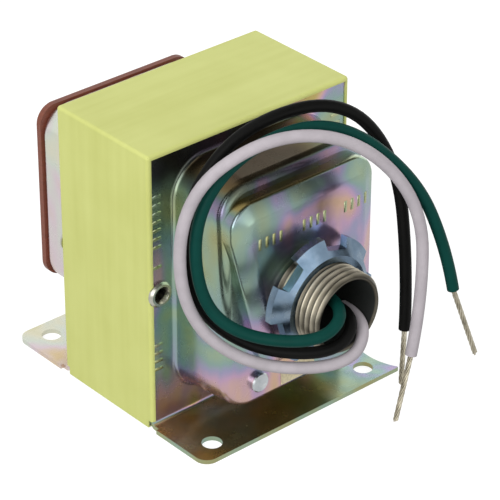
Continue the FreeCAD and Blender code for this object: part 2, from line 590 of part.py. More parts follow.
e_stack = new_body("e_laminations")
block(e_stack, "EBlock", "-{stack_wide} / 2", "{stack_wide} / 2 - {leg}", "{core_low}",
      "{core_low} + {stack_high}", "{stack_deep}")
block(e_stack, "LowerWindow", "-{stack_wide} / 2 + {leg}", "{stack_wide} / 2", "{core_low} + {leg}",
      MIDDLE + " - {tongue} / 2", "2 * {stack_deep}", cut=True)
block(e_stack, "UpperWindow", "-{stack_wide} / 2 + {leg}", "{stack_wide} / 2",
      MIDDLE + " + {tongue} / 2", "{core_low} + {stack_high} - {leg}", "2 * {stack_deep}", cut=True)
NOTCH = EYELET_SIDE + " - {eyelet_dia} / 2 - {slip}"
block(e_stack, "LeftNotch", "-{stack_wide} / 2 - 1", "-(" + NOTCH + ")",
      "{eyelet_high} - {eyelet_dia} / 2 - {slip}", "{eyelet_high} + {eyelet_dia} / 2 + {slip}",
      "2 * {stack_deep}", cut=True)

i_stack = new_body("i_laminations")
block(i_stack, "IBlock", "{stack_wide} / 2 - {leg}", "{stack_wide} / 2", "{core_low}",
      "{core_low} + {stack_high}", "{stack_deep}")
block(i_stack, "RightNotch", NOTCH, "{stack_wide} / 2 + 1",
      "{eyelet_high} - {eyelet_dia} / 2 - {slip}", "{eyelet_high} + {eyelet_dia} / 2 + {slip}",
      "2 * {stack_deep}", cut=True)

# Bobbin and its two windings round the middle leg, side by side.
WINDOW = "{stack_wide} / 2 - {leg} - {core_slack}"
TUBE_HIGH = "{tongue} / 2 + {core_slack}"
TUBE_DEEP = "{stack_deep} / 2 + {core_slack}"


def ring(body, name, x0, x1, inner, outer, corner=None):
    """A rectangular sleeve round the middle leg, between two X formulas; inner and outer are walls."""
    sketch = new_sketch(body, name + "Section", "YZ_Plane", x0)
    for tag, wall in (("_out", outer), ("_in", inner)):
        draw_rectangle(sketch, "2 * (" + TUBE_DEEP + " + " + wall + ")",
                       MIDDLE + " - (" + TUBE_HIGH + ") - (" + wall + ")",
                       MIDDLE + " + " + TUBE_HIGH + " + " + wall, corner if tag == "_out" else None, tag)
    return pad(body, name, sketch, "(" + x1 + ") - (" + x0 + ")")


bobbin = new_body("coil_bobbin")
ring(bobbin, "BobbinTube", "-(" + WINDOW + ")", WINDOW, "0 * {tube_wall}", "{tube_wall}")
for name, x0 in (("LeftFlange", "-(" + WINDOW + ")"), ("MiddleFlange", "-{tube_wall} / 2"),
                 ("RightFlange", WINDOW + " - {tube_wall}")):
    ring(bobbin, name, x0, "(" + x0 + ") + {tube_wall}", "{tube_wall} / 2",
         "{tube_wall} + {coil_deep} + {core_slack}")
COIL = "{tube_wall} + {coil_deep} - {jacket_thick}"
for label, sign in (("primary_winding", "-"), ("secondary_winding", "")):
    low_x = "{tube_wall} / 2 + {coil_slack}"
    high_x = WINDOW + " - {tube_wall} - {coil_slack}"
    x0, x1 = ("-(" + high_x + ")", "-(" + low_x + ")") if sign else (low_x, high_x)
    winding = new_body(label)
    ring(winding, label.title().replace("_", ""), x0, x1, "{tube_wall}", COIL)
    jacket = new_body(label.split("_")[0] + "_jacket")
    ring(jacket, jacket.Label.title().replace("_", ""), x0, x1, COIL, COIL + " + {jacket_thick}")


def revolve(body, name, profile):
    """Turn a closed profile of (distance along the axis, radius) formulas round a line along Y."""
    sketch = new_sketch(body, name + "Profile", "XY_Plane")
    vec = FreeCAD.Vector
    points = [(value_of(along), value_of(radius)) for along, radius in profile]
    count = len(points)
    for turn in range(count):
        start = vec(points[turn][1], points[turn][0], 0)
        stop = vec(points[(turn + 1) % count][1], points[(turn + 1) % count][0], 0)
        sketch.addGeometry(Part.LineSegment(start, stop))
    for turn in range(count):
        sketch.addConstraint(Sketcher.Constraint("Coincident", turn, 2, (turn + 1) % count, 1))
        along, radius = profile[turn]
        if points[turn][1] > 1e-9:
            measure(sketch, "radius_%d" % turn, radius, "DistanceX", -1, 1, turn, 1, points[turn][1])
        else:
            sketch.addConstraint(Sketcher.Constraint("PointOnObject", turn, 1, -2))
        if abs(points[turn][0]) < 1e-9:
            sketch.addConstraint(Sketcher.Constraint("PointOnObject", turn, 1, -1))
        elif points[turn][0] > 0:
            measure(sketch, "along_%d" % turn, along, "DistanceY", -1, 1, turn, 1, points[turn][0])
        else:
            measure(sketch, "along_%d" % turn, "-(" + along + ")", "DistanceY", turn, 1, -1, 1,
                    -points[turn][0])
    item = body.newObject("PartDesign::Revolution", name)
    item.Profile = sketch
    item.ReferenceAxis = (sketch, ["V_Axis"])
    item.Angle = 360
    sketch.Visibility = False
    return item


def place(body, x, y, z):
    """Put a body at a point given by three formulas."""
    for axis, formula in (("x", x), ("y", y), ("z", z)):
        bind(body, "Placement.Base." + axis, formula)


def pair(label, shape_of, x, y, z):
    """Two equal pieces, left and right of the centre, as one node."""
    pieces = []
    for side, sign in (("Left", "-"), ("Right", "")):
        body = doc.addObject("PartDesign::Body", label + side)
        shape_of(body, side + label.title().replace("_", ""))
        place(body, sign + "(" + x + ")", y, z)
        pieces.append(body)
    group = doc.addObject("Part::Compound", label)
    group.Label = label
    group.Links = pieces
    NODES.append(group)
    return group


# Hollow rivets that hold the covers to the stack, each rolled over at both ends.
GRIP = "{stack_deep} / 2 + {steel}"


def eyelet(body, name):
    revolve(body, name, [
        ("-(" + GRIP + ") - {eyelet_cap}", "{eyelet_bore} / 2 + 0.4"),
        ("-(" + GRIP + ") - {eyelet_cap}", "{eyelet_head} / 2 - 0.5"),
        ("-(" + GRIP + ") - {eyelet_cap} / 2", "{eyelet_head} / 2"),
        ("-(" + GRIP + ")", "{eyelet_head} / 2"),
        ("-(" + GRIP + ")", "{eyelet_dia} / 2"),
        (GRIP, "{eyelet_dia} / 2"),
        (GRIP, "{eyelet_head} / 2"),
        (GRIP + " + {eyelet_cap} / 2", "{eyelet_head} / 2"),
        (GRIP + " + {eyelet_cap}", "{eyelet_head} / 2 - 0.5"),
        (GRIP + " + {eyelet_cap}", "{eyelet_bore} / 2 + 0.4"),
        (GRIP, "{eyelet_bore} / 2"),
        ("-(" + GRIP + ")", "{eyelet_bore} / 2"),
    ])


pair("hollow_rivets", eyelet, EYELET_SIDE, "0", "{eyelet_high}")

# Conduit nipple with its collar behind the panel, and the locknut that draws it tight.
nipple = new_body("conduit_nipple")
revolve(nipple, "Nipple", [
    ("-" + NIPPLE_REACH, "{nipple_bore} / 2"),
    ("-" + NIPPLE_REACH, "{nipple_dia} / 2 - 0.8"),
    ("-" + NIPPLE_REACH + " + 0.8", "{nipple_dia} / 2"),
    ("-(" + PANEL_BACK + ")", "{nipple_dia} / 2"),
    ("-(" + PANEL_BACK + ")", "{collar_dia} / 2"),
    ("-(" + PANEL_BACK + ") + {collar_thick}", "{collar_dia} / 2"),
    ("-(" + PANEL_BACK + ") + {collar_thick}", "{nipple_bore} / 2"),
])
place(nipple, "0", "0", "{nipple_high}")

LOCKNUT_FRONT = PAD_REACH + " + {locknut_gap} + {lug_thick} + {lug_drop}"
locknut = new_body("locknut")
revolve(locknut, "LocknutDish", [
    ("-(" + LOCKNUT_FRONT + ")", "{nipple_dia} / 2"),
    ("-(" + LOCKNUT_FRONT + ")", "{locknut_ring} / 2"),
    ("-(" + LOCKNUT_FRONT + ") + {lug_drop}", "{lug_reach}"),
    ("-(" + LOCKNUT_FRONT + ") + {lug_drop} + {lug_thick}", "{lug_reach}"),
    ("-(" + LOCKNUT_FRONT + ") + {locknut_thick}", "{locknut_ring} / 2"),
    ("-(" + LOCKNUT_FRONT + ") + {locknut_thick}", "{nipple_dia} / 2"),
])
gap_sketch = new_sketch(locknut, "GapOutline", "XZ_Plane")
gap_points = [
    ("-{gap_inner} / 2", "{gap_root}"), ("{gap_inner} / 2", "{gap_root}"),
    ("{gap_outer} / 2", "{lug_reach} + {lug_thick}"), ("-{gap_outer} / 2", "{lug_reach} + {lug_thick}"),
]
gap_corners = [FreeCAD.Vector(value_of(x), value_of(z), 0) for x, z in gap_points]
for turn in range(4):
    gap_sketch.addGeometry(Part.LineSegment(gap_corners[turn], gap_corners[(turn + 1) % 4]))
for turn in range(4):
    gap_sketch.addConstraint(Sketcher.Constraint("Coincident", turn, 2, (turn + 1) % 4, 1))
    fix_point(gap_sketch, turn, 1, gap_points[turn][0], gap_points[turn][1], "_%d" % turn)
gap = pocket(locknut, "Gap", gap_sketch, "2 * (" + LOCKNUT_FRONT + ")", reverse=True)
gaps = locknut.newObject("PartDesign::PolarPattern", "Gaps")
gaps.Originals = [gap]
gaps.Axis = (gap_sketch, ["N_Axis"])
gaps.Angle = 360
bind(gaps, "Occurrences", "{lug_count}")
locknut.Tip = gaps
locknut.Placement.Rotation = FreeCAD.Rotation(FreeCAD.Vector(0, 1, 0), size("lug_turn"))
place(locknut, "0", "0", "{nipple_high}")

# Terminal board on the rear dome, with its screws, washers, nuts, insulating bushes and rivets.
board = new_body("terminal_board")
board_sketch = new_sketch(board, "BoardOutline", "XZ_Plane", "-{rear_reach}")
draw_rectangle(board_sketch, "{board_wide}", "{board_low}", "{board_top}", "{board_corner}")
for side, sign in (("_left", "-"), ("_right", "")):
    draw_circle(board_sketch, sign + "{terminal_wide} / 2", "{terminal_high}",
                "{terminal_dia} + 2 * {slip}", side + "_terminal")
    draw_circle(board_sketch, sign + "{rivet_wide} / 2", "{rivet_high}",
                "{rivet_dia} + 2 * {slip}", side + "_rivet")
pad(board, "Board", board_sketch, "{board_thick}", reverse=True)

BOARD_BACK = "{rear_reach} + {board_thick}"
NUT_INNER = "{rear_reach} - {bush_deep}"


def terminal_screw(body, name):
    under = BOARD_BACK + " + {washer_thick}"
    revolve(body, name, [
        (NUT_INNER + " - {nut_thick} - 0.5", "0"),
        (NUT_INNER + " - {nut_thick} - 0.5", "{terminal_dia} / 2"),
        (under, "{terminal_dia} / 2"),
        (under, "{terminal_head} / 2"),
        (under + " + {terminal_cap} - 0.6", "{terminal_head} / 2"),
        (under + " + {terminal_cap}", "{terminal_head} / 2 - 1.2"),
        (under + " + {terminal_cap}", "0"),
    ])
    slot = new_sketch(body, name + "SlotOutline", "XZ_Plane", "-(" + under + " + {terminal_cap})")
    draw_rectangle(slot, "1.3", "-{terminal_head}", "{terminal_head}")
    pocket(body, name + "Slot", slot, "1.1", reverse=True)


def terminal_washer(body, name):
    revolve(body, name, [
        (BOARD_BACK, "{terminal_dia} / 2 + {slip}"), (BOARD_BACK, "{washer_dia} / 2"),
        (BOARD_BACK + " + {washer_thick}", "{washer_dia} / 2"),
        (BOARD_BACK + " + {washer_thick}", "{terminal_dia} / 2 + {slip}"),
    ])


def terminal_bush(body, name):
    revolve(body, name, [
        ("{rear_reach}", "{terminal_dia} / 2 + {slip}"), ("{rear_reach}", "{bush_dia} / 2"),
        (NUT_INNER, "{bush_dia} / 2"), (NUT_INNER, "{terminal_dia} / 2 + {slip}"),
    ])


def terminal_nut(body, name):
    sketch = new_sketch(body, name + "Outline", "XZ_Plane", "-(" + NUT_INNER + " - {nut_thick})")
    radius = size("nut_flats") / math.sqrt(3)
    vec = FreeCAD.Vector
    points = [vec(radius * math.cos(turn * math.pi / 3), radius * math.sin(turn * math.pi / 3), 0)
              for turn in range(6)]
    for turn in range(6):
        sketch.addGeometry(Part.LineSegment(points[turn], points[(turn + 1) % 6]))
    guide = sketch.addGeometry(Part.Circle(vec(0, 0, 0), vec(0, 0, 1), radius), True)
    sketch.addConstraint(Sketcher.Constraint("Coincident", guide, 3, -1, 1))
    for turn in range(6):
        sketch.addConstraint(Sketcher.Constraint("Coincident", turn, 2, (turn + 1) % 6, 1))
        sketch.addConstraint(Sketcher.Constraint("PointOnObject", turn, 1, guide))
    for turn in range(1, 6):
        sketch.addConstraint(Sketcher.Constraint("Equal", 0, turn))
    sketch.addConstraint(Sketcher.Constraint("PointOnObject", 0, 1, -1))
    measure(sketch, "corners", "2 * {nut_flats} / sqrt(3)", "Diameter", guide, 2 * radius)
    draw_circle(sketch, "0", "0", "{terminal_dia}", "_bore")
    pad(body, name, sketch, "{nut_thick}", reverse=True)


def board_rivet(body, name):
    inner = "{rear_reach} - {steel}"
    revolve(body, name, [
        (inner + " - {rivet_cap}", "0"), (inner + " - {rivet_cap}", "{rivet_head} / 2 - 0.8"),
        (inner, "{rivet_head} / 2"), (inner, "{rivet_dia} / 2"), (BOARD_BACK, "{rivet_dia} / 2"),
        (BOARD_BACK, "{rivet_head} / 2"), (BOARD_BACK + " + {rivet_cap} / 2", "{rivet_head} / 2 - 0.4"),
        (BOARD_BACK + " + {rivet_cap}", "{rivet_head} / 2 - 1.4"), (BOARD_BACK + " + {rivet_cap}", "0"),
    ])


pair("terminal_screws", terminal_screw, "{terminal_wide} / 2", "0", "{terminal_high}")
pair("terminal_washers", terminal_washer, "{terminal_wide} / 2", "0", "{terminal_high}")
pair("terminal_bushes", terminal_bush, "{terminal_wide} / 2", "0", "{terminal_high}")
pair("terminal_nuts", terminal_nut, "{terminal_wide} / 2", "0", "{terminal_high}")
pair("board_rivets", board_rivet, "{rivet_wide} / 2", "0", "{rivet_high}")

# Solid rivet through the lower left of the front dome, square to the leaning face.
dome_rivet = new_body("dome_rivet")
revolve(dome_rivet, "DomeRivet", [
    ("-{pin_cap}", "0"), ("-{pin_cap}", "{pin_dia} / 2 - 0.3"), ("-{pin_cap} + 0.3", "{pin_dia} / 2"),
    ("0", "{pin_dia} / 2"), ("0", "{rivet_dia} / 2 - {slip}"),
    ("{steel}", "{rivet_dia} / 2 - {slip}"), ("{steel}", "{pin_dia} / 2"),
    ("{steel} + {pin_cap}", "{pin_dia} / 2 - 0.8"), ("{steel} + {pin_cap}", "0"),
])
dome_rivet.Placement.Rotation = FreeCAD.Rotation(FreeCAD.Vector(1, 0, 0), -size("crown_lean"))
place(dome_rivet, "-{pin_left}", "-({crown_reach} - {pin_high} * tan({crown_lean}))", "{pin_high}")

# Blank label stuck low on the front dome.
label = new_body("blank_label")
label_sketch = new_sketch(label, "LabelOutline", "XZ_Plane", "{crown_reach}", "-{crown_lean}")
draw_rectangle(label_sketch, "{label_wide}", "{label_low}", "{label_low} + {label_high}")
pad(label, "Label", label_sketch, "{label_thick}")
place(label, "{label_right}", "0", "0")

# Leads: each leaves the nipple, loops round it to the left and over the top, and hangs at the right.
LEADS = {
    "white": [(6.2, -44.5, 33.5), (4, -56, 36), (-4.5, -59, 27.5), (-24.5, -44.5, 28.7), (-37, -34.5, 44.5),
              (-36.5, -34.5, 75), (-19, -43.5, 89), (2.5, -51.5, 84.5), (17.5, -59, 64.5),
              (17, -60.5, 38), (14, -60.5, 24)],
    "green": [(-0.5, -44.5, 40), (-3.5, -56.5, 42.5), (-13.5, -58, 37.5), (-26.5, -44, 38),
              (-33, -36.5, 47.5), (-33, -35, 70), (-20, -38.5, 84.5), (0.5, -46, 88), (17.5, -56, 70.5),
              (24.5, -60.5, 50), (26, -62, 38.5)],
    "black": [(1.5, -44.5, 36.5), (0.5, -56, 39), (-8.5, -58, 32), (-23, -41.5, 32), (-32.5, -31.2, 45.5),
              (-32, -30.5, 70.5), (-18.5, -35, 88), (5, -43.5, 91), (18, -49.5, 72.5), (18.8, -53.5, 42),
              (17.5, -54.5, 27)],
}
STRIPPED = {"white": (9, -61, 7), "green": (33.5, -63.5, 17.5), "black": (16.5, -55, 11.5)}


def lead_path(points):
    """Straight runs joined by tangent arcs, each arc using 0.45 of the shorter run beside it."""
    nodes = [FreeCAD.Vector(*point) for point in points]
    edges = []
    begin = nodes[0]
    for before, corner, after in zip(nodes, nodes[1:], nodes[2:]):
        arrive = (corner - before).normalize()
        leave = (after - corner).normalize()
        reach = 0.45 * min((corner - before).Length, (after - corner).Length)
        turn = arrive.getAngle(leave)
        radius = reach / math.tan(turn / 2)
        start = corner - arrive * reach
        stop = corner + leave * reach
        inward = (leave - arrive).normalize()
        middle = corner + inward * (radius / math.cos(turn / 2) - radius)
        edges.append(Part.LineSegment(begin, start).toShape())
        edges.append(Part.Arc(start, middle, stop).toShape())
        begin = stop
    edges.append(Part.LineSegment(begin, nodes[-1]).toShape())
    return Part.Wire(edges)


def tube(label, path, diameter):
    """A round rod along a path, as a feature of its own."""
    first = path.Edges[0]
    start = first.valueAt(first.FirstParameter)
    heading = first.tangentAt(first.FirstParameter)
    ring_edge = Part.makeCircle(diameter / 2, start, heading)
    solid = path.makePipeShell([Part.Wire([ring_edge])], True, False)
    item = doc.addObject("Part::Feature", label)
    item.Label = label
    item.Shape = solid
    NODES.append(item)
    return item


for colour, points in LEADS.items():
    route = lead_path(points)
    tube(colour + "_lead", route, size("lead_dia"))
    tip = FreeCAD.Vector(*STRIPPED[colour])
    end = FreeCAD.Vector(*points[-1])
    end = end + (tip - end).normalize() * size("strand_gap")
    bare = Part.Wire([Part.LineSegment(end, tip).toShape()])
    tube(colour + "_bare_end", bare, size("strand_dia"))

doc.recompute()
for item in doc.Objects:
    if "Invalid" in item.State or "Error" in item.State:
        raise RuntimeError("%s did not recompute" % item.Label)
for item in NODES:
    if item.Shape.isNull() or not item.Shape.isValid():
        raise RuntimeError("%s has no valid shape" % item.Label)

os.makedirs("parts", exist_ok=True)
for item in NODES:
    item.Shape.exportStep("parts/%s.step" % item.Label)
    print("%s: %d solid(s), %.1f mm3" % (item.Label, len(item.Shape.Solids), item.Shape.Volume))
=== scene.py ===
"""Looks of a doorbell transformer: finishes, conduit thread, leads and a plain studio round the packed part."""

import math

import bmesh
import bpy
from mathutils import Matrix, Vector


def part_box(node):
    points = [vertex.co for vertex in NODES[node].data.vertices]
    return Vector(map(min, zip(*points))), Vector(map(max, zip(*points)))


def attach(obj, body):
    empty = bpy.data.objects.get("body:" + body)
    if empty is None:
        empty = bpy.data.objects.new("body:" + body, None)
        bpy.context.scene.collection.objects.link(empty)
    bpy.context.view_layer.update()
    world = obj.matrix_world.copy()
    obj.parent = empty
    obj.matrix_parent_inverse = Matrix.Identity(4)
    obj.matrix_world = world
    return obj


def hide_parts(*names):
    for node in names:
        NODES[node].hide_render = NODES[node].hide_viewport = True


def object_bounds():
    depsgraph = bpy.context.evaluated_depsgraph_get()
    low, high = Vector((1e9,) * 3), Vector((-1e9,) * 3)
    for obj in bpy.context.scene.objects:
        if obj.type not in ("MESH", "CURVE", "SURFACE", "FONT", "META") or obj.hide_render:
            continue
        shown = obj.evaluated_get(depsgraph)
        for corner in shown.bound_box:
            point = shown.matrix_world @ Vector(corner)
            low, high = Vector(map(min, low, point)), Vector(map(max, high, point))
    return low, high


bl_info = {
    "name": "Doorbell Transformer",
    "version": (1, 0, 0),
    "blender": (4, 5, 0),
    "location": "3D View > Sidebar > Transformer",
    "description": "Finishes, conduit thread, leads and a plain studio for the packed transformer",
    "category": "Object",
}

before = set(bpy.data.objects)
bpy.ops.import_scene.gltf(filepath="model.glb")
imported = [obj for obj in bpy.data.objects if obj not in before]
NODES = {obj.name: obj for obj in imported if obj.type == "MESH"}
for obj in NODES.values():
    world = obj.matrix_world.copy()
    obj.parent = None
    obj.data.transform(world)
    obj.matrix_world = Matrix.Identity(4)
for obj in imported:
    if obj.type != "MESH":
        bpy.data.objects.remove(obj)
CAD_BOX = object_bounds()
MM = 0.001


def linear(code):
    """An sRGB hex colour as linear red, green and blue."""
    parts = [int(code[start:start + 2], 16) / 255 for start in (1, 3, 5)]
    return tuple(part / 12.92 if part <= 0.04045 else ((part + 0.055) / 1.055) ** 2.4 for part in parts)


def colour_setting(name, description, code):
    return bpy.props.FloatVectorProperty(
        name=name, description=description, subtype="COLOR", size=3, min=0.0, max=1.0, default=linear(code))


def length_setting(name, description, millimetres):
    return bpy.props.FloatProperty(
        name=name, description=description, unit="LENGTH", min=0.0, precision=5, default=millimetres * MM)


class TransformerSizes(bpy.types.PropertyGroup):
    """Sizes of the details that the packed solids leave plain."""

    thread_pitch: length_setting("Thread pitch", "Half-inch conduit thread, 14 turns to the inch", 25.4 / 14)
    thread_depth: length_setting("Thread depth", "Crest to root of the conduit thread", 0.75)
    pipe_radius: length_setting("Nipple radius", "Crest radius of the conduit thread", 10.65)
    bore_radius: length_setting("Bore radius", "Inside radius of the nipple", 9.0)
    lead_diameter: length_setting("Lead diameter", "Lead over its insulation", 3.0)
    strand_diameter: length_setting("Strand bundle", "Diameter of the stripped, twisted strands", 1.4)
    strand_lay: length_setting("Strand lay", "Length of one twist of the strands", 11.0)
    fold_radius: length_setting("Tape fold", "Softening of the tape's folds", 0.8)
    bar_long: length_setting("Bar length", "Length of a stamped bar", 3.2)
    bar_wide: length_setting("Bar width", "Width of a stamped bar", 1.0)
    bar_rise: length_setting("Bar height", "Height of a stamped bar above the sheet", 0.2)


class TransformerColours(bpy.types.PropertyGroup):
    """Base colours of the finishes."""

    tape: colour_setting("Tape", "Polyester tape round the core", "#D7DC85")
    white_lead: colour_setting("White lead", "Insulation of the neutral lead", "#BCB5BA")
    green_lead: colour_setting("Green lead", "Insulation of the earth lead", "#074039")
    black_lead: colour_setting("Black lead", "Insulation of the live lead", "#0B0B0A")
    board: colour_setting("Terminal board", "Laminated phenolic sheet", "#7E4431")
    label: colour_setting("Label", "Blank paper label", "#EADFBC")


class TransformerStudio(bpy.types.PropertyGroup):
    """Camera."""

    azimuth: bpy.props.FloatProperty(
        name="Azimuth", description="Camera's turn round the part", subtype="ANGLE", default=math.radians(-41.29))
    elevation: bpy.props.FloatProperty(
        name="Elevation", description="Camera's angle above the floor", subtype="ANGLE", default=math.radians(30.93))
    roll: bpy.props.FloatProperty(
        name="Roll", description="Camera's turn about its own axis", subtype="ANGLE", default=math.radians(0.23))
    distance: length_setting("Distance", "Camera to its target", 668.6)
    target: bpy.props.FloatVectorProperty(
        name="Target", description="Point at the middle of the picture", subtype="TRANSLATION", unit="LENGTH",
        default=(15.1 * MM, 0.0, 25.7 * MM))
    lens: bpy.props.FloatProperty(
        name="Lens", description="Focal length on a 36 mm sensor", unit="CAMERA", default=187.2)


# Node and mesh helpers.

def add_node(tree, kind, inputs=None, **settings):
    """Add a shader node, set its settings, and fill its inputs with values or links."""
    node = tree.nodes.new(kind)
    for name, value in settings.items():
        setattr(node, name, value)
    for socket, value in (inputs or {}).items():
        if isinstance(value, bpy.types.NodeSocket):
            tree.links.new(value, node.inputs[socket])
        else:
            node.inputs[socket].default_value = value
    return node


def start_material(name):
    """A new material with its tree, its shader and its object coordinates."""
    material = bpy.data.materials.new(name)
    material.use_nodes = True
    tree = material.node_tree
    shader = tree.nodes["Principled BSDF"]
    place = add_node(tree, "ShaderNodeTexCoord").outputs["Object"]
    return material, tree, shader, place


def set_ramp(node, stops):
    """Give a colour ramp its stops as pairs of position and linear colour."""
    ramp = node.color_ramp
    while len(ramp.elements) < len(stops):
        ramp.elements.new(0.5)
    for element, (position, colour) in zip(ramp.elements, stops):
        element.position = position
        element.color = (*colour, 1.0)


def per(millimetres):
    """Texture scale at which one feature is that long."""
    return 1.0 / (millimetres * MM)


def finish_node(node, material):
    """Give a CAD node a finish in its own material slot."""
    data = NODES[node].data
    data.materials.clear()
    data.materials.append(material)


def mesh_piece(name, build, material, smooth_angle=40.0):
    """Turn what a function draws into a bmesh into a piece that rides on the part."""
    mesh = bpy.data.meshes.new(name)
    shape = bmesh.new()
    build(shape)
    bmesh.ops.recalc_face_normals(shape, faces=shape.faces)
    for face in shape.faces:
        face.smooth = True
    limit = math.radians(smooth_angle)
    for edge in shape.edges:
        if len(edge.link_faces) == 2 and edge.calc_face_angle() > limit:
            edge.smooth = False
    shape.to_mesh(mesh)
    shape.free()
    piece = bpy.data.objects.new(name, mesh)
    bpy.context.scene.collection.objects.link(piece)
    mesh.materials.append(material)
    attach(piece, "root")
    return piece


def join_rings(shape, rings, closed_ends=True):
    """Skin equal rings of points into a tube."""
    made = [[shape.verts.new(point) for point in ring] for ring in rings]
    count = len(made[0])
    for first, second in zip(made, made[1:]):
        for turn in range(count):
            after = (turn + 1) % count
            shape.faces.new((first[turn], first[after], second[after], second[turn]))
    if closed_ends:
        shape.faces.new(made[0])
        shape.faces.new(made[-1])


# Materials.

# Zones of the chromate's colour: where each fade starts and ends, in millimetres along one axis.
LEVEL_ACROSS = (4, 24)
EDGE_HEIGHT = (1.2, 2.0)
# Painted dark reflection on the front cover's upper part: the heights over which it fades in, the span across over
# which it fades out to the right, and its dark colour.
PAINTED_REFLECTION_HEIGHT = (60, 72)
PAINTED_REFLECTION_ACROSS = (2, 24)
PAINTED_REFLECTION_COLOUR = "#2A1E22"
# Upward part of the normal at which a face starts to count as level, and counts in full.
LEVEL_NORMAL = (0.6, 0.95)
STREAK_SHARE = 0.30


def chromate_steel(name, film, level_shift=0.0, edge_shift=0.0, painted_reflection=0.0, offset=0.0):
    """Zinc plated steel sheet, chromated: a glossy metal whose film runs through gold, green, lilac and pink.

    The film's colour is one soft field of clouds and upright streaks. level_shift moves it on level faces and fades to
    the right, and edge_shift moves it on the foot's cut edge. The upper left is darkened by a painted dark reflection,
    as strongly as the argument after edge_shift says. offset moves the clouds along in millimetres.
    """
    material, tree, shader, place = start_material(name)
    moved = add_node(tree, "ShaderNodeMapping", {"Vector": place, "Location": (offset * MM, 0.0, 0.0)})
    cloud = add_node(tree, "ShaderNodeTexNoise", {
        "Vector": moved.outputs["Vector"], "Scale": per(24), "Detail": 1.5, "Roughness": 0.45, "Distortion": 0.8})
    drawn = add_node(tree, "ShaderNodeMapping", {"Vector": place, "Scale": (1.0, 1.0, 0.22)})
    streak = add_node(tree, "ShaderNodeTexNoise", {"Vector": drawn.outputs["Vector"], "Scale": per(7), "Detail": 2.0})
    field = add_node(tree, "ShaderNodeMath", {
        0: streak.outputs["Fac"], 1: STREAK_SHARE, 2: cloud.outputs["Fac"]}, operation="MULTIPLY_ADD")

    where = add_node(tree, "ShaderNodeSeparateXYZ", {"Vector": place})
    facing = add_node(tree, "ShaderNodeSeparateXYZ", {
        "Vector": add_node(tree, "ShaderNodeNewGeometry").outputs["Normal"]})
    level = add_node(tree, "ShaderNodeMapRange", {
        "Value": facing.outputs["Z"], "From Min": LEVEL_NORMAL[0], "From Max": LEVEL_NORMAL[1]},
        interpolation_type="SMOOTHSTEP")
    across = add_node(tree, "ShaderNodeMapRange", {
        "Value": where.outputs["X"], "From Min": LEVEL_ACROSS[0] * MM, "From Max": LEVEL_ACROSS[1] * MM,
        "To Min": level_shift, "To Max": 0.0}, interpolation_type="SMOOTHSTEP")
    levelled = add_node(tree, "ShaderNodeMath", {
        0: level.outputs["Result"], 1: across.outputs["Result"], 2: field.outputs[0]}, operation="MULTIPLY_ADD")
    low = add_node(tree, "ShaderNodeMapRange", {
        "Value": where.outputs["Z"], "From Min": EDGE_HEIGHT[0] * MM, "From Max": EDGE_HEIGHT[1] * MM,
        "To Min": edge_shift, "To Max": 0.0})
    upright = add_node(tree, "ShaderNodeMath", {0: 1.0, 1: level.outputs["Result"]}, operation="SUBTRACT")
    edged = add_node(tree, "ShaderNodeMath", {
        0: low.outputs["Result"], 1: upright.outputs[0], 2: levelled.outputs[0]}, operation="MULTIPLY_ADD")
    tint = add_node(tree, "ShaderNodeValToRGB", {"Fac": edged.outputs[0]})
    set_ramp(tint, [(position, linear(code)) for position, code in film])

    # Painted dark reflection: the upper left is blended towards a dark colour.
    high = add_node(tree, "ShaderNodeMapRange", {
        "Value": where.outputs["Z"], "From Min": PAINTED_REFLECTION_HEIGHT[0] * MM, "From Max": PAINTED_REFLECTION_HEIGHT[1] * MM},
        interpolation_type="SMOOTHSTEP")
    left = add_node(tree, "ShaderNodeMapRange", {
        "Value": where.outputs["X"], "From Min": PAINTED_REFLECTION_ACROSS[0] * MM, "From Max": PAINTED_REFLECTION_ACROSS[1] * MM,
        "To Min": painted_reflection, "To Max": 0.0}, interpolation_type="SMOOTHSTEP")
    dark = add_node(tree, "ShaderNodeMath", {
        0: high.outputs["Result"], 1: left.outputs["Result"]}, operation="MULTIPLY")
    with_painted_reflection = add_node(tree, "ShaderNodeMix", {
        0: dark.outputs[0], 6: tint.outputs["Color"], 7: (*linear(PAINTED_REFLECTION_COLOUR), 1.0)}, data_type="RGBA")

    patch = add_node(tree, "ShaderNodeTexNoise", {"Vector": place, "Scale": per(6), "Detail": 4.0})
    gloss = add_node(tree, "ShaderNodeMapRange", {
        "Value": patch.outputs["Fac"], "From Min": 0.3, "From Max": 0.7, "To Min": 0.20, "To Max": 0.30})
    # Grain, drawn coarser than the real one so that it shows.
    grain = add_node(tree, "ShaderNodeTexNoise", {"Vector": place, "Scale": per(0.8), "Detail": 2.0})
    bump = add_node(tree, "ShaderNodeBump", {
        "Height": grain.outputs["Fac"], "Strength": 0.05, "Distance": 0.05 * MM})
    tree.links.new(with_painted_reflection.outputs[2], shader.inputs["Base Color"])
    tree.links.new(gloss.outputs["Result"], shader.inputs["Roughness"])
    tree.links.new(bump.outputs["Normal"], shader.inputs["Normal"])
    shader.inputs["Metallic"].default_value = 0.92
    return material


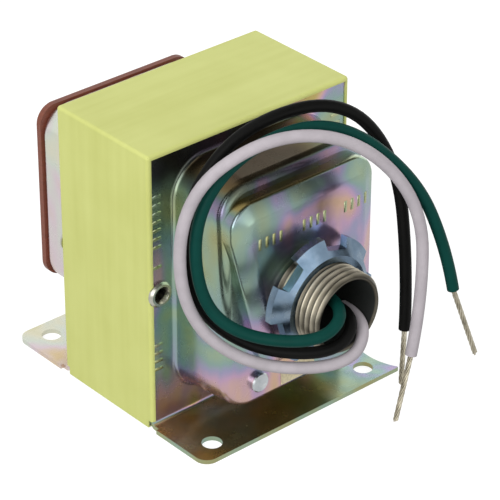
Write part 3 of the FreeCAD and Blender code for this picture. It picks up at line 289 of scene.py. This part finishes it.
def polyester_tape(colour):
    """Polyester film tape: an even satin yellow-green with faint lines along the wrap and soft, shallow wrinkles."""
    material, tree, shader, place = start_material("polyester_film_tape_satin")
    drawn = add_node(tree, "ShaderNodeMapping", {"Vector": place, "Scale": (0.06, 1.0, 0.06)})
    lines = add_node(tree, "ShaderNodeTexNoise", {
        "Vector": drawn.outputs["Vector"], "Scale": per(3.5), "Detail": 2.0, "Roughness": 0.5})
    cloud = add_node(tree, "ShaderNodeTexNoise", {"Vector": place, "Scale": per(14), "Detail": 2.0})
    both = add_node(tree, "ShaderNodeMath", {0: lines.outputs["Fac"], 1: cloud.outputs["Fac"]}, operation="ADD")
    red, green, blue = colour
    tint = add_node(tree, "ShaderNodeValToRGB", {"Fac": add_node(
        tree, "ShaderNodeMapRange", {"Value": both.outputs[0], "From Min": 0.7, "From Max": 1.3}).outputs["Result"]})
    set_ramp(tint, [(0.0, (red * 0.95, green * 0.95, blue * 0.91)), (1.0, (red * 1.04, green * 1.04, blue * 1.09))])
    bump = add_node(tree, "ShaderNodeBump", {
        "Height": both.outputs[0], "Strength": 0.06, "Distance": 0.1 * MM})
    tree.links.new(tint.outputs["Color"], shader.inputs["Base Color"])
    tree.links.new(bump.outputs["Normal"], shader.inputs["Normal"])
    shader.inputs["Roughness"].default_value = 0.45
    shader.inputs["Specular IOR Level"].default_value = 0.25
    return material


def cloudy_metal(name, colours, blotch, roughness):
    """Plated or bare metal: cloudy in tone and gloss, with clouds of the given size in millimetres and a fine grain."""
    material, tree, shader, place = start_material(name)
    cloud = add_node(tree, "ShaderNodeTexNoise", {"Vector": place, "Scale": per(blotch), "Detail": 4.0})
    tint = add_node(tree, "ShaderNodeValToRGB", {"Fac": cloud.outputs["Fac"]})
    set_ramp(tint, [(0.3, linear(colours[0])), (0.5, linear(colours[1])), (0.7, linear(colours[2]))])
    gloss = add_node(tree, "ShaderNodeMapRange", {
        "Value": cloud.outputs["Fac"], "From Min": 0.3, "From Max": 0.7,
        "To Min": roughness * 0.8, "To Max": roughness * 1.25})
    # Grain, drawn coarser than the real one so that it shows.
    grain = add_node(tree, "ShaderNodeTexNoise", {"Vector": place, "Scale": per(0.6), "Detail": 3.0})
    bump = add_node(tree, "ShaderNodeBump", {
        "Height": grain.outputs["Fac"], "Strength": 0.1, "Distance": 0.06 * MM})
    tree.links.new(tint.outputs["Color"], shader.inputs["Base Color"])
    tree.links.new(gloss.outputs["Result"], shader.inputs["Roughness"])
    tree.links.new(bump.outputs["Normal"], shader.inputs["Normal"])
    shader.inputs["Metallic"].default_value = 1.0
    return material


def threaded_steel(sizes, axis):
    """Dull plated thread: pale crests and roots darkened by painted shade, by the distance from the nipple's axis."""
    material = cloudy_metal("nipple_steel_dull_chromate", ("#A39C89", "#B9B19E", "#C8C1B0"), 5, 0.42)
    tree = material.node_tree
    shader = tree.nodes["Principled BSDF"]
    place = add_node(tree, "ShaderNodeTexCoord").outputs["Object"]
    beside = add_node(tree, "ShaderNodeVectorMath", {0: place, 1: axis}, operation="SUBTRACT")
    flat = add_node(tree, "ShaderNodeVectorMath", {0: beside.outputs[0], 1: (1.0, 0.0, 1.0)}, operation="MULTIPLY")
    radius = add_node(tree, "ShaderNodeVectorMath", {0: flat.outputs[0]}, operation="LENGTH")
    # Painted shade in the thread's roots: the colour falls to 0.22 of itself at the root and stays whole at the crest.
    crest = add_node(tree, "ShaderNodeMapRange", {
        "Value": radius.outputs["Value"], "From Min": sizes.pipe_radius - sizes.thread_depth,
        "From Max": sizes.pipe_radius - 0.1 * MM, "To Min": 0.22, "To Max": 1.0})
    painted_root_shade = add_node(tree, "ShaderNodeMix", {
        0: 1.0, 6: shader.inputs["Base Color"].links[0].from_socket, 7: crest.outputs["Result"]},
        data_type="RGBA", blend_type="MULTIPLY")
    tree.links.new(painted_root_shade.outputs[2], shader.inputs["Base Color"])
    return material


def lead_insulation(name, colour):
    """Extruded PVC: a soft satin skin with faint cloudy patches and a fine unevenness."""
    material, tree, shader, place = start_material(name)
    cloud = add_node(tree, "ShaderNodeTexNoise", {"Vector": place, "Scale": per(5), "Detail": 4.0, "Roughness": 0.6})
    red, green, blue = colour
    tint = add_node(tree, "ShaderNodeValToRGB", {"Fac": cloud.outputs["Fac"]})
    set_ramp(tint, [
        (0.3, (red * 0.90, green * 0.90, blue * 0.90)),
        (0.7, (red * 1.06 + 0.001, green * 1.06 + 0.001, blue * 1.06 + 0.001))])
    gloss = add_node(tree, "ShaderNodeMapRange", {
        "Value": cloud.outputs["Fac"], "From Min": 0.3, "From Max": 0.7, "To Min": 0.42, "To Max": 0.55})
    # Unevenness of the skin, drawn coarser than the real one so that it shows.
    skin = add_node(tree, "ShaderNodeTexNoise", {"Vector": place, "Scale": per(0.7), "Detail": 2.0})
    bump = add_node(tree, "ShaderNodeBump", {
        "Height": skin.outputs["Fac"], "Strength": 0.08, "Distance": 0.05 * MM})
    tree.links.new(tint.outputs["Color"], shader.inputs["Base Color"])
    tree.links.new(gloss.outputs["Result"], shader.inputs["Roughness"])
    tree.links.new(bump.outputs["Normal"], shader.inputs["Normal"])
    shader.inputs["Specular IOR Level"].default_value = 0.08
    return material


def sheet_material(name, colour, across, along, roughness, rise):
    """A matt sheet, board or moulding: streaks of the given width and length in millimetres, in tone and relief."""
    material, tree, shader, place = start_material(name)
    drawn = add_node(tree, "ShaderNodeMapping", {
        "Vector": place, "Scale": (per(along), per(along), per(across))})
    streak = add_node(tree, "ShaderNodeTexNoise", {
        "Vector": drawn.outputs["Vector"], "Scale": 1.0, "Detail": 5.0, "Roughness": 0.6})
    red, green, blue = colour
    tint = add_node(tree, "ShaderNodeValToRGB", {"Fac": streak.outputs["Fac"]})
    set_ramp(tint, [
        (0.3, (red * 0.78, green * 0.76, blue * 0.74)), (0.7, (red * 1.15, green * 1.13, blue * 1.1))])
    bump = add_node(tree, "ShaderNodeBump", {
        "Height": streak.outputs["Fac"], "Strength": 0.2, "Distance": rise * MM})
    tree.links.new(tint.outputs["Color"], shader.inputs["Base Color"])
    tree.links.new(bump.outputs["Normal"], shader.inputs["Normal"])
    shader.inputs["Roughness"].default_value = roughness
    return material


# Leads: route points in millimetres, from inside the nipple to the end of the insulation, and the bare tips.

LEADS = {
    "white": {
        "route": [(6.2, -44.5, 33.5), (4, -56, 36), (-4.5, -59, 27.5), (-24.5, -44.5, 28.7), (-37, -34.5, 44.5),
                  (-36.5, -34.5, 75), (-19, -43.5, 89), (2.5, -51.5, 84.5), (17.5, -59, 64.5),
                  (17, -60.5, 38), (14, -60.5, 24)],
        "tip": (9, -61, 7), "length": 206.9},
    "green": {
        "route": [(-0.5, -44.5, 40), (-3.5, -56.5, 42.5), (-13.5, -58, 37.5), (-26.5, -44, 38),
                  (-33, -36.5, 47.5), (-33, -35, 70), (-20, -38.5, 84.5), (0.5, -46, 88), (17.5, -56, 70.5),
                  (24.5, -60.5, 50), (26, -62, 38.5)],
        "tip": (33.5, -63.5, 17.5), "length": 174.4},
    "black": {
        "route": [(1.5, -44.5, 36.5), (0.5, -56, 39), (-8.5, -58, 32), (-23, -41.5, 32), (-32.5, -31.2, 45.5),
                  (-32, -30.5, 70.5), (-18.5, -35, 88), (5, -43.5, 91), (18, -49.5, 72.5), (18.8, -53.5, 42),
                  (17.5, -54.5, 27)],
        "tip": (16.5, -55, 11.5), "length": 197.5},
}


def in_metres(point):
    return Vector(point) * MM


def lead_curve(name, route, diameter, material):
    """A lead as a round tube on a smooth spline."""
    curve = bpy.data.curves.new(name, "CURVE")
    curve.dimensions = "3D"
    curve.resolution_u = 10
    curve.bevel_depth = diameter / 2
    curve.bevel_resolution = 7
    curve.use_fill_caps = True
    spline = curve.splines.new("NURBS")
    spline.points.add(len(route) - 1)
    for spot, point in zip(spline.points, route):
        spot.co = (*in_metres(point), 1.0)
    spline.order_u = 3
    spline.use_endpoint_u = True
    curve.materials.append(material)
    piece = bpy.data.objects.new(name, curve)
    bpy.context.scene.collection.objects.link(piece)
    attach(piece, "root")
    return piece


STRAND_STEPS = 40
STRAND_SIDES = 10
OUTER_STRANDS = 6


def twisted_strands(start, stop, bundle, lay):
    """Six strands twisted round a straight one, each a little shorter or longer than the next."""
    strand = bundle / 6
    axis = (stop - start).normalized()
    side = axis.orthogonal().normalized()
    other = axis.cross(side)
    span = (stop - start).length

    def outward(turn):
        return side * math.cos(turn) + other * math.sin(turn)

    def build(shape):
        for number in range(OUTER_STRANDS + 1):
            out = 0.0 if number == OUTER_STRANDS else strand * 1.9
            reach = span - (number % 3) * strand * 1.2
            rings = []
            for step in range(STRAND_STEPS + 1):
                along = reach * step / STRAND_STEPS
                centre = start + axis * along + outward(math.tau * (along / lay + number / OUTER_STRANDS)) * out
                rings.append([
                    centre + outward(math.tau * turn / STRAND_SIDES) * strand for turn in range(STRAND_SIDES)])
            join_rings(shape, rings)

    return build


class TRANSFORMER_OT_leads(bpy.types.Operator):
    """Draw the three leads and their stripped ends"""

    bl_idname = "transformer.leads"
    bl_label = "Leads"

    def execute(self, context):
        sizes = context.scene.transformer_sizes
        colours = context.scene.transformer_colours
        # Tinned copper: grey with a warm cast, half dull.
        tinned = cloudy_metal("tinned_copper_strands", ("#8E8878", "#B0A996", "#C9C3B2"), 3, 0.32)
        for colour, facts in LEADS.items():
            skin = lead_insulation("pvc_insulation_" + colour, getattr(colours, colour + "_lead"))
            lead = lead_curve(colour + "_insulation", facts["route"], sizes.lead_diameter, skin)
            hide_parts(colour + "_lead")
            end = in_metres(facts["route"][-1])
            strands = mesh_piece(colour + "_strands", twisted_strands(
                end, in_metres(facts["tip"]), sizes.strand_diameter, sizes.strand_lay), tinned)
            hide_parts(colour + "_bare_end")
        return {"FINISHED"}


class TRANSFORMER_OT_covers(bpy.types.Operator):
    """Finish the drawn steel covers"""

    bl_idname = "transformer.covers"
    bl_label = "Covers"

    def execute(self, context):
        # Yellow chromate, strongly coloured: gold and brown on the foot, green to pink on the upright faces, and a
        # painted dark reflection on the upper left.
        front = chromate_steel("zinc_plated_steel_yellow_chromate", (
            (0.12, "#A08B46"), (0.32, "#A89B60"), (0.46, "#A3AB84"), (0.57, "#9AB09A"), (0.63, "#8FA9A4"),
            (0.69, "#A19EBC"), (0.75, "#C2A2BC"), (0.82, "#D3B09C"), (0.90, "#C2B06C")),
            level_shift=-0.38, edge_shift=-0.20, painted_reflection=0.9, offset=80.0)
        finish_node("front_cover", front)
        # The same kind of film, much paler: nearly silver, with a breath of yellow and pink.
        rear = chromate_steel("zinc_plated_steel_pale_chromate", (
            (0.35, "#CEC897"), (0.50, "#DEDBC3"), (0.60, "#D3DACE"), (0.70, "#DACBD1"), (0.82, "#D9C39B")))
        finish_node("rear_cover", rear)
        return {"FINISHED"}


# Plain raised bars in rows: middle of the row in X and Z, number of bars, and step from bar to bar, in millimetres.

STAMPED_ROWS = (
    ((-12.0, 56.2), 4, (2.2, 0.0)), ((2.0, 56.4), 4, (2.2, 0.0)), ((15.4, 56.4), 4, (2.2, 0.0)),
    ((-29.6, 58.5), 7, (0.0, 2.3)), ((-29.6, 46.0), 1, (0.0, 2.3)), ((-29.6, 20.5), 4, (0.0, 2.3)),
    ((28.0, 64.0), 4, (0.0, 2.3)))

# Section of a bar, from its foot to its top: how far in, and how high, as shares of its height.
BAR_SECTION = ((0.0, -0.3), (0.6, 0.55), (1.1, 0.88), (1.7, 1.0))
BAR_SMOOTH_ANGLE = 75.0


def on_front(x, z):
    """The point of the front cover that lies at X and Z, seen from the front."""
    cover = NODES["front_cover"]
    into = cover.matrix_world.inverted()
    start = into @ Vector((x, CAD_BOX[0].y, z))
    hit, place, _, _ = cover.ray_cast(start, into.to_3x3() @ Vector((0.0, 1.0, 0.0)))
    if not hit:
        raise RuntimeError("no cover at %.4f, %.4f" % (x, z))
    return cover.matrix_world @ place


def stamped_bar(shape, middle, along_x, long, wide, rise):
    """One bar with a rounded top, standing on the sheet."""
    half = Vector((wide, 0.0, long)) / 2 if along_x else Vector((long, 0.0, wide)) / 2
    rings = []
    for inset, lift in BAR_SECTION:
        x = half.x - rise * inset
        z = half.z - rise * inset
        y = -rise * lift
        rings.append([middle + Vector(corner) for corner in ((-x, y, -z), (x, y, -z), (x, y, z), (-x, y, z))])
    join_rings(shape, rings)


class TRANSFORMER_OT_marks(bpy.types.Operator):
    """Raise plain bars where the front cover is stamped"""

    bl_idname = "transformer.marks"
    bl_label = "Stamped bars"

    def execute(self, context):
        sizes = context.scene.transformer_sizes

        def build(shape):
            for (x, z), count, (step_x, step_z) in STAMPED_ROWS:
                for number in range(count):
                    shift = number - (count - 1) / 2
                    middle = on_front((x + step_x * shift) * MM, (z + step_z * shift) * MM)
                    stamped_bar(shape, middle, step_x > 0, sizes.bar_long, sizes.bar_wide, sizes.bar_rise)

        # Yellow chromate in its gold to green part, so that the bars stand out from the sheet.
        film = chromate_steel("zinc_plated_steel_gold_chromate", (
            (0.40, "#A5A673"), (0.60, "#AFB68F"), (0.80, "#A4B49C")))
        marks = mesh_piece("stamped_bars", build, film, BAR_SMOOTH_ANGLE)
        return {"FINISHED"}


class TRANSFORMER_OT_core(bpy.types.Operator):
    """Finish the taped core and the coil inside it"""

    bl_idname = "transformer.core"
    bl_label = "Core"

    def execute(self, context):
        sizes = context.scene.transformer_sizes
        colours = context.scene.transformer_colours
        finish_node("core_wrap", polyester_tape(colours.tape))
        soften = NODES["core_wrap"].modifiers.new("soft_edges", "BEVEL")
        soften.width = sizes.fold_radius
        soften.segments = 3
        soften.limit_method = "ANGLE"
        # Sheared silicon steel: dark grey metal with fine lines.
        stack = sheet_material("silicon_steel_sheared_edges", linear("#5E5F63"), 0.5, 0.5, 0.4, 0.05)
        stack.node_tree.nodes["Principled BSDF"].inputs["Metallic"].default_value = 1.0
        for node in ("e_laminations", "i_laminations"):
            finish_node(node, stack)
        # Natural nylon, moulded: cream and smooth.
        nylon = sheet_material("nylon_moulded_natural", linear("#D9D2BC"), 1.5, 1.5, 0.5, 0.03)
        for node in ("coil_bobbin", "terminal_bushes"):
            finish_node(node, nylon)
        # Enamelled copper: red-brown and glossy.
        wire = cloudy_metal("copper_wire_enamelled", ("#7A3B20", "#97502C", "#A9653A"), 2, 0.3)
        for node in ("primary_winding", "secondary_winding"):
            finish_node(node, wire)
        # Varnished kraft paper: tan with fibres along the wrap.
        paper = sheet_material("kraft_paper_varnished", linear("#A8834F"), 0.6, 4, 0.55, 0.05)
        for node in ("primary_jacket", "secondary_jacket"):
            finish_node(node, paper)
        return {"FINISHED"}


class TRANSFORMER_OT_rivets(bpy.types.Operator):
    """Finish the rivets"""

    bl_idname = "transformer.rivets"
    bl_label = "Rivets"

    def execute(self, context):
        # Zinc plated rivets: silver with a slight yellow cast.
        dull = cloudy_metal("rivet_steel_zinc_plated", ("#A3A294", "#BDBCB0", "#CFCEC4"), 4, 0.26)
        for node in ("hollow_rivets", "board_rivets"):
            finish_node(node, dull)
        # Bright zinc: clean, cool silver.
        bright = cloudy_metal("rivet_steel_bright_zinc", ("#A9AFB4", "#C2C7CA", "#D4D8DA"), 3, 0.24)
        finish_node("dome_rivet", bright)
        return {"FINISHED"}


THREAD_SIDES = 96
ROWS_PER_TURN = 14
THREAD_SMOOTH_ANGLE = 70.0
COLLAR_THICK = 1.6 * MM
# Flat of the crest and length of the flank, as shares of half a pitch.
CREST_FLAT = 0.12
CREST_FLANK = 0.76
# Rim: depth of the outer chamfer, its slope, and width and depth of the inner one.
RIM_CHAMFER = 0.9 * MM
RIM_SLOPE = 0.9
BORE_FLARE = 0.45 * MM
BORE_CHAMFER = 0.5 * MM


def thread_rings(sizes, low, high):
    """Rings of the nipple from its collar, along the thread to the rim and back through the bore."""
    axis = Vector(((low.x + high.x) / 2, 0.0, (low.z + high.z) / 2))
    collar = (high.x - low.x) / 2
    rim = low.y
    back = high.y
    thread_start = back - COLLAR_THICK
    rows = int((thread_start - rim) / (sizes.thread_pitch / ROWS_PER_TURN))

    def ring(y, radius_at):
        points = []
        for side in range(THREAD_SIDES):
            angle = math.tau * side / THREAD_SIDES
            radius = radius_at(y, angle)
            points.append(axis + Vector((radius * math.cos(angle), y, radius * math.sin(angle))))
        return points

    def plain(radius):
        return lambda y, angle: radius

    def threaded(y, angle):
        phase = (y / sizes.thread_pitch + angle / math.tau) % 1.0
        depth = min(1.0, max(0.0, (abs(phase - 0.5) * 2 - CREST_FLAT) / CREST_FLANK))
        chamfer = sizes.pipe_radius - RIM_CHAMFER + (y - rim) * RIM_SLOPE
        return min(sizes.pipe_radius - sizes.thread_depth * depth, chamfer)

    rings = [ring(y, plain(radius)) for y, radius in (
        (back, sizes.bore_radius), (back, collar), (thread_start, collar))]
    rings += [ring(thread_start + (rim - thread_start) * row / rows, threaded) for row in range(rows + 1)]
    rings += [ring(y, plain(radius)) for y, radius in (
        (rim, sizes.bore_radius + BORE_FLARE), (rim + BORE_CHAMFER, sizes.bore_radius))]
    return rings


class TRANSFORMER_OT_nipple(bpy.types.Operator):
    """Cut the conduit thread on the nipple"""

    bl_idname = "transformer.nipple"
    bl_label = "Conduit nipple"

    def execute(self, context):
        sizes = context.scene.transformer_sizes
        low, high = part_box("conduit_nipple")
        rings = thread_rings(sizes, low, high)
        axis = (low + high) / 2
        bore_limit = sizes.bore_radius + 0.05 * MM
        bore_start = low.y + BORE_CHAMFER + 0.1 * MM

        def build(shape):
            join_rings(shape, rings + [rings[0]], closed_ends=False)
            bmesh.ops.remove_doubles(shape, verts=shape.verts, dist=0.001 * MM)
            for face in shape.faces:
                middle = face.calc_center_median()
                from_axis = math.hypot(middle.x - axis.x, middle.z - axis.z)
                if from_axis < bore_limit and middle.y > bore_start:
                    face.material_index = 1

        nipple = mesh_piece("threaded_nipple", build, threaded_steel(sizes, axis), THREAD_SMOOTH_ANGLE)
        # Inside of the nipple: nearly black, as it looks in the photograph; the black is painted shade in the bore.
        bore = sheet_material("nipple_bore_painted_shade", linear("#191D1B"), 1.5, 1.5, 0.55, 0.03)
        nipple.data.materials.append(bore)
        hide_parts("conduit_nipple")
        return {"FINISHED"}


class TRANSFORMER_OT_locknut(bpy.types.Operator):
    """Finish the locknut"""

    bl_idname = "transformer.locknut"
    bl_label = "Locknut"

    def execute(self, context):
        # Clear zinc: blue-grey and glossy.
        zinc = cloudy_metal("locknut_steel_clear_zinc", ("#657A8E", "#788DA1", "#90A2B2"), 5, 0.24)
        finish_node("locknut", zinc)
        return {"FINISHED"}


class TRANSFORMER_OT_terminals(bpy.types.Operator):
    """Finish the terminal board and its hardware"""

    bl_idname = "transformer.terminals"
    bl_label = "Terminal board"

    def execute(self, context):
        colours = context.scene.transformer_colours
        # Phenolic paper laminate: red-brown with faint level fibres and a slight sheen.
        laminate = sheet_material("phenolic_paper_laminate", colours.board, 0.4, 6, 0.45, 0.04)
        finish_node("terminal_board", laminate)
        # Bright zinc on the screws: cool silver.
        zinc = cloudy_metal("screw_steel_bright_zinc", ("#8E989F", "#A9B2B8", "#BFC7CB"), 3, 0.26)
        finish_node("terminal_screws", zinc)
        # Bare brass: yellow, a little dulled.
        brass = cloudy_metal("terminal_brass_bare", ("#A8873F", "#C19F55", "#CDB06C"), 3, 0.3)
        for node in ("terminal_washers", "terminal_nuts"):
            finish_node(node, brass)
        return {"FINISHED"}


class TRANSFORMER_OT_label(bpy.types.Operator):
    """Finish the blank label"""

    bl_idname = "transformer.label"
    bl_label = "Blank label"

    def execute(self, context):
        # Uncoated paper: cream and matt.
        paper = sheet_material("label_paper_matt", context.scene.transformer_colours.label, 0.8, 0.8, 0.7, 0.02)
        finish_node("blank_label", paper)
        return {"FINISHED"}


def studio_camera(settings):
    """The camera, turned round its target by azimuth, elevation and roll."""
    turn = settings.azimuth
    rise = settings.elevation
    back = Vector((math.sin(turn) * math.cos(rise), -math.cos(turn) * math.cos(rise), math.sin(rise)))
    right = Vector((math.cos(turn), math.sin(turn), 0.0))
    up = back.cross(right)
    level = math.cos(settings.roll)
    tilt = math.sin(settings.roll)
    right, up = right * level + up * tilt, up * level - right * tilt
    eye = Vector(settings.target) + back * settings.distance
    data = bpy.data.cameras.new("studio_camera")
    data.lens = settings.lens
    data.sensor_width = 36.0
    data.clip_start = 0.01
    data.clip_end = 20.0
    camera = bpy.data.objects.new("studio_camera", data)
    camera.matrix_world = Matrix((
        (right.x, up.x, back.x, eye.x), (right.y, up.y, back.y, eye.y),
        (right.z, up.z, back.z, eye.z), (0, 0, 0, 1)))
    bpy.context.scene.collection.objects.link(camera)
    bpy.context.scene.camera = camera


# Places in metres, widths in metres and power in watts.
STAGE_MIDDLE = (0.0, 0.0, 0.04)
FLOOR_WIDTH = 8.0
LAMP_WIDTH = 0.8
LAMPS = (
    ("key_softbox", (-0.75, -0.30, 0.35), 4.9), ("fill_softbox", (-0.05, -0.85, 0.35), 2.0),
    ("top_softbox", (-0.05, 0.20, 0.75), 0.8), ("side_softbox", (0.80, 0.25, 0.30), 1.6))
CARD_WIDTH = 1.0
CARDS = (("side_card", (0.62, 0.10, 0.82)), ("front_card", (-0.15, -0.72, 0.70)))
# Strength of the white floor to the camera and in reflections, and of the world as light and as background.
FLOOR_SEEN = 0.86
FLOOR_MIRRORED = 0.60
WORLD_LIGHT = 0.5
WORLD_SEEN = 1.0


def aimed(place, track):
    """Turn that points one axis of an object at the middle of the stage."""
    return (Vector(STAGE_MIDDLE) - Vector(place)).to_track_quat(track, "Y").to_euler()


def flat_square(name, width, material):
    """A level square of the stage."""
    half = width / 2
    mesh = bpy.data.meshes.new(name)
    mesh.from_pydata([(-half, -half, 0), (half, -half, 0), (half, half, 0), (-half, half, 0)], [], [(0, 1, 2, 3)])
    mesh.materials.append(material)
    square = bpy.data.objects.new(name, mesh)
    bpy.context.scene.collection.objects.link(square)
    return square


def soft_light(name, place, energy):
    """A square softbox aimed at the middle of the stage."""
    data = bpy.data.lights.new(name, "AREA")
    data.size = LAMP_WIDTH
    data.energy = energy
    lamp = bpy.data.objects.new(name, data)
    lamp.location = place
    lamp.rotation_euler = aimed(place, "-Z")
    bpy.context.scene.collection.objects.link(lamp)


def grey_card(name, place, material):
    """A dark grey card that only reflections see: it gives the metal dark parts to mirror, and shades nothing."""
    card = flat_square(name, CARD_WIDTH, material)
    card.location = place
    card.rotation_euler = aimed(place, "Z")
    for ray in ("camera", "diffuse", "shadow", "transmission", "volume_scatter"):
        setattr(card, "visible_" + ray, False)


def white_paper():
    """White paper floor: white to the camera, a little dimmer in reflections, and it still takes a soft shadow."""
    material, tree, shader, place = start_material("paper_backdrop_white")
    fibre = add_node(tree, "ShaderNodeTexNoise", {"Vector": place, "Scale": per(2), "Detail": 3.0})
    tint = add_node(tree, "ShaderNodeValToRGB", {"Fac": fibre.outputs["Fac"]})
    set_ramp(tint, [(0.3, linear("#969696")), (0.7, linear("#9A9A9A"))])
    tree.links.new(tint.outputs["Color"], shader.inputs["Base Color"])
    shader.inputs["Roughness"].default_value = 0.9
    shader.inputs["Specular IOR Level"].default_value = 0.0
    path = add_node(tree, "ShaderNodeLightPath")
    bounced = add_node(tree, "ShaderNodeMath", {
        0: path.outputs["Is Glossy Ray"], 1: path.outputs["Is Transmission Ray"]}, operation="MAXIMUM")
    mirrored = add_node(tree, "ShaderNodeMath", {0: bounced.outputs[0], 1: FLOOR_MIRRORED}, operation="MULTIPLY")
    strength = add_node(tree, "ShaderNodeMath", {
        0: path.outputs["Is Camera Ray"], 1: FLOOR_SEEN, 2: mirrored.outputs[0]}, operation="MULTIPLY_ADD")
    shader.inputs["Emission Color"].default_value = (1.0, 1.0, 1.0, 1.0)
    tree.links.new(strength.outputs[0], shader.inputs["Emission Strength"])
    return material


def white_world():
    """White all round: full white to the camera and in reflections, half as strong as a light."""
    world = bpy.data.worlds.new("white_studio")
    world.use_nodes = True
    tree = world.node_tree
    path = add_node(tree, "ShaderNodeLightPath")
    seen = add_node(tree, "ShaderNodeMath", {
        0: path.outputs["Is Camera Ray"], 1: path.outputs["Is Glossy Ray"]}, operation="MAXIMUM")
    clear = add_node(tree, "ShaderNodeMath", {
        0: seen.outputs[0], 1: path.outputs["Is Transmission Ray"]}, operation="MAXIMUM")
    strength = add_node(tree, "ShaderNodeMapRange", {
        "Value": clear.outputs[0], "To Min": WORLD_LIGHT, "To Max": WORLD_SEEN})
    background = tree.nodes["Background"]
    background.inputs["Color"].default_value = (1.0, 1.0, 1.0, 1.0)
    tree.links.new(strength.outputs["Result"], background.inputs["Strength"])
    return world


class TRANSFORMER_OT_stage(bpy.types.Operator):
    """Set up the floor, the soft lights and the camera"""

    bl_idname = "transformer.stage"
    bl_label = "Stage"

    def execute(self, context):
        floor = flat_square("floor", FLOOR_WIDTH, white_paper())
        floor.location.z = CAD_BOX[0].z - 0.05 * MM
        context.scene.world = white_world()
        for name, place, energy in LAMPS:
            soft_light(name, place, energy)
        # Grey card: dark and matt.
        grey = sheet_material("card_matt_grey", linear("#343434"), 3, 3, 0.95, 0.02)
        for name, place in CARDS:
            grey_card(name, place, grey)
        context.scene.view_settings.view_transform = "Standard"
        studio_camera(context.scene.transformer_studio)
        return {"FINISHED"}


OPERATORS = (
    TRANSFORMER_OT_covers, TRANSFORMER_OT_marks, TRANSFORMER_OT_core, TRANSFORMER_OT_rivets, TRANSFORMER_OT_nipple,
    TRANSFORMER_OT_locknut, TRANSFORMER_OT_terminals, TRANSFORMER_OT_label, TRANSFORMER_OT_leads,
    TRANSFORMER_OT_stage)
SETTINGS = {
    "transformer_sizes": TransformerSizes,
    "transformer_colours": TransformerColours,
    "transformer_studio": TransformerStudio,
}


class TRANSFORMER_PT_panel(bpy.types.Panel):
    """Settings and steps of the transformer"""

    bl_idname = "TRANSFORMER_PT_panel"
    bl_label = "Doorbell Transformer"
    bl_space_type = "VIEW_3D"
    bl_region_type = "UI"
    bl_category = "Transformer"

    def draw(self, context):
        for name, group in SETTINGS.items():
            box = self.layout.box()
            box.label(text=group.__doc__)
            settings = getattr(context.scene, name)
            for key in group.__annotations__:
                box.prop(settings, key)
        for operator in OPERATORS:
            self.layout.operator(operator.bl_idname)


CLASSES = (*SETTINGS.values(), *OPERATORS, TRANSFORMER_PT_panel)


def register():
    for item in CLASSES:
        bpy.utils.register_class(item)
    for name, group in SETTINGS.items():
        setattr(bpy.types.Scene, name, bpy.props.PointerProperty(type=group))


def unregister():
    for name in SETTINGS:
        delattr(bpy.types.Scene, name)
    for item in reversed(CLASSES):
        bpy.utils.unregister_class(item)


def main():
    register()
    bpy.ops.transformer.stage()
    bpy.ops.transformer.leads()
    bpy.ops.transformer.covers()
    bpy.ops.transformer.marks()
    bpy.ops.transformer.core()
    bpy.ops.transformer.rivets()
    bpy.ops.transformer.nipple()
    bpy.ops.transformer.locknut()
    bpy.ops.transformer.terminals()
    bpy.ops.transformer.label()


if __name__ == "__main__":
    main()
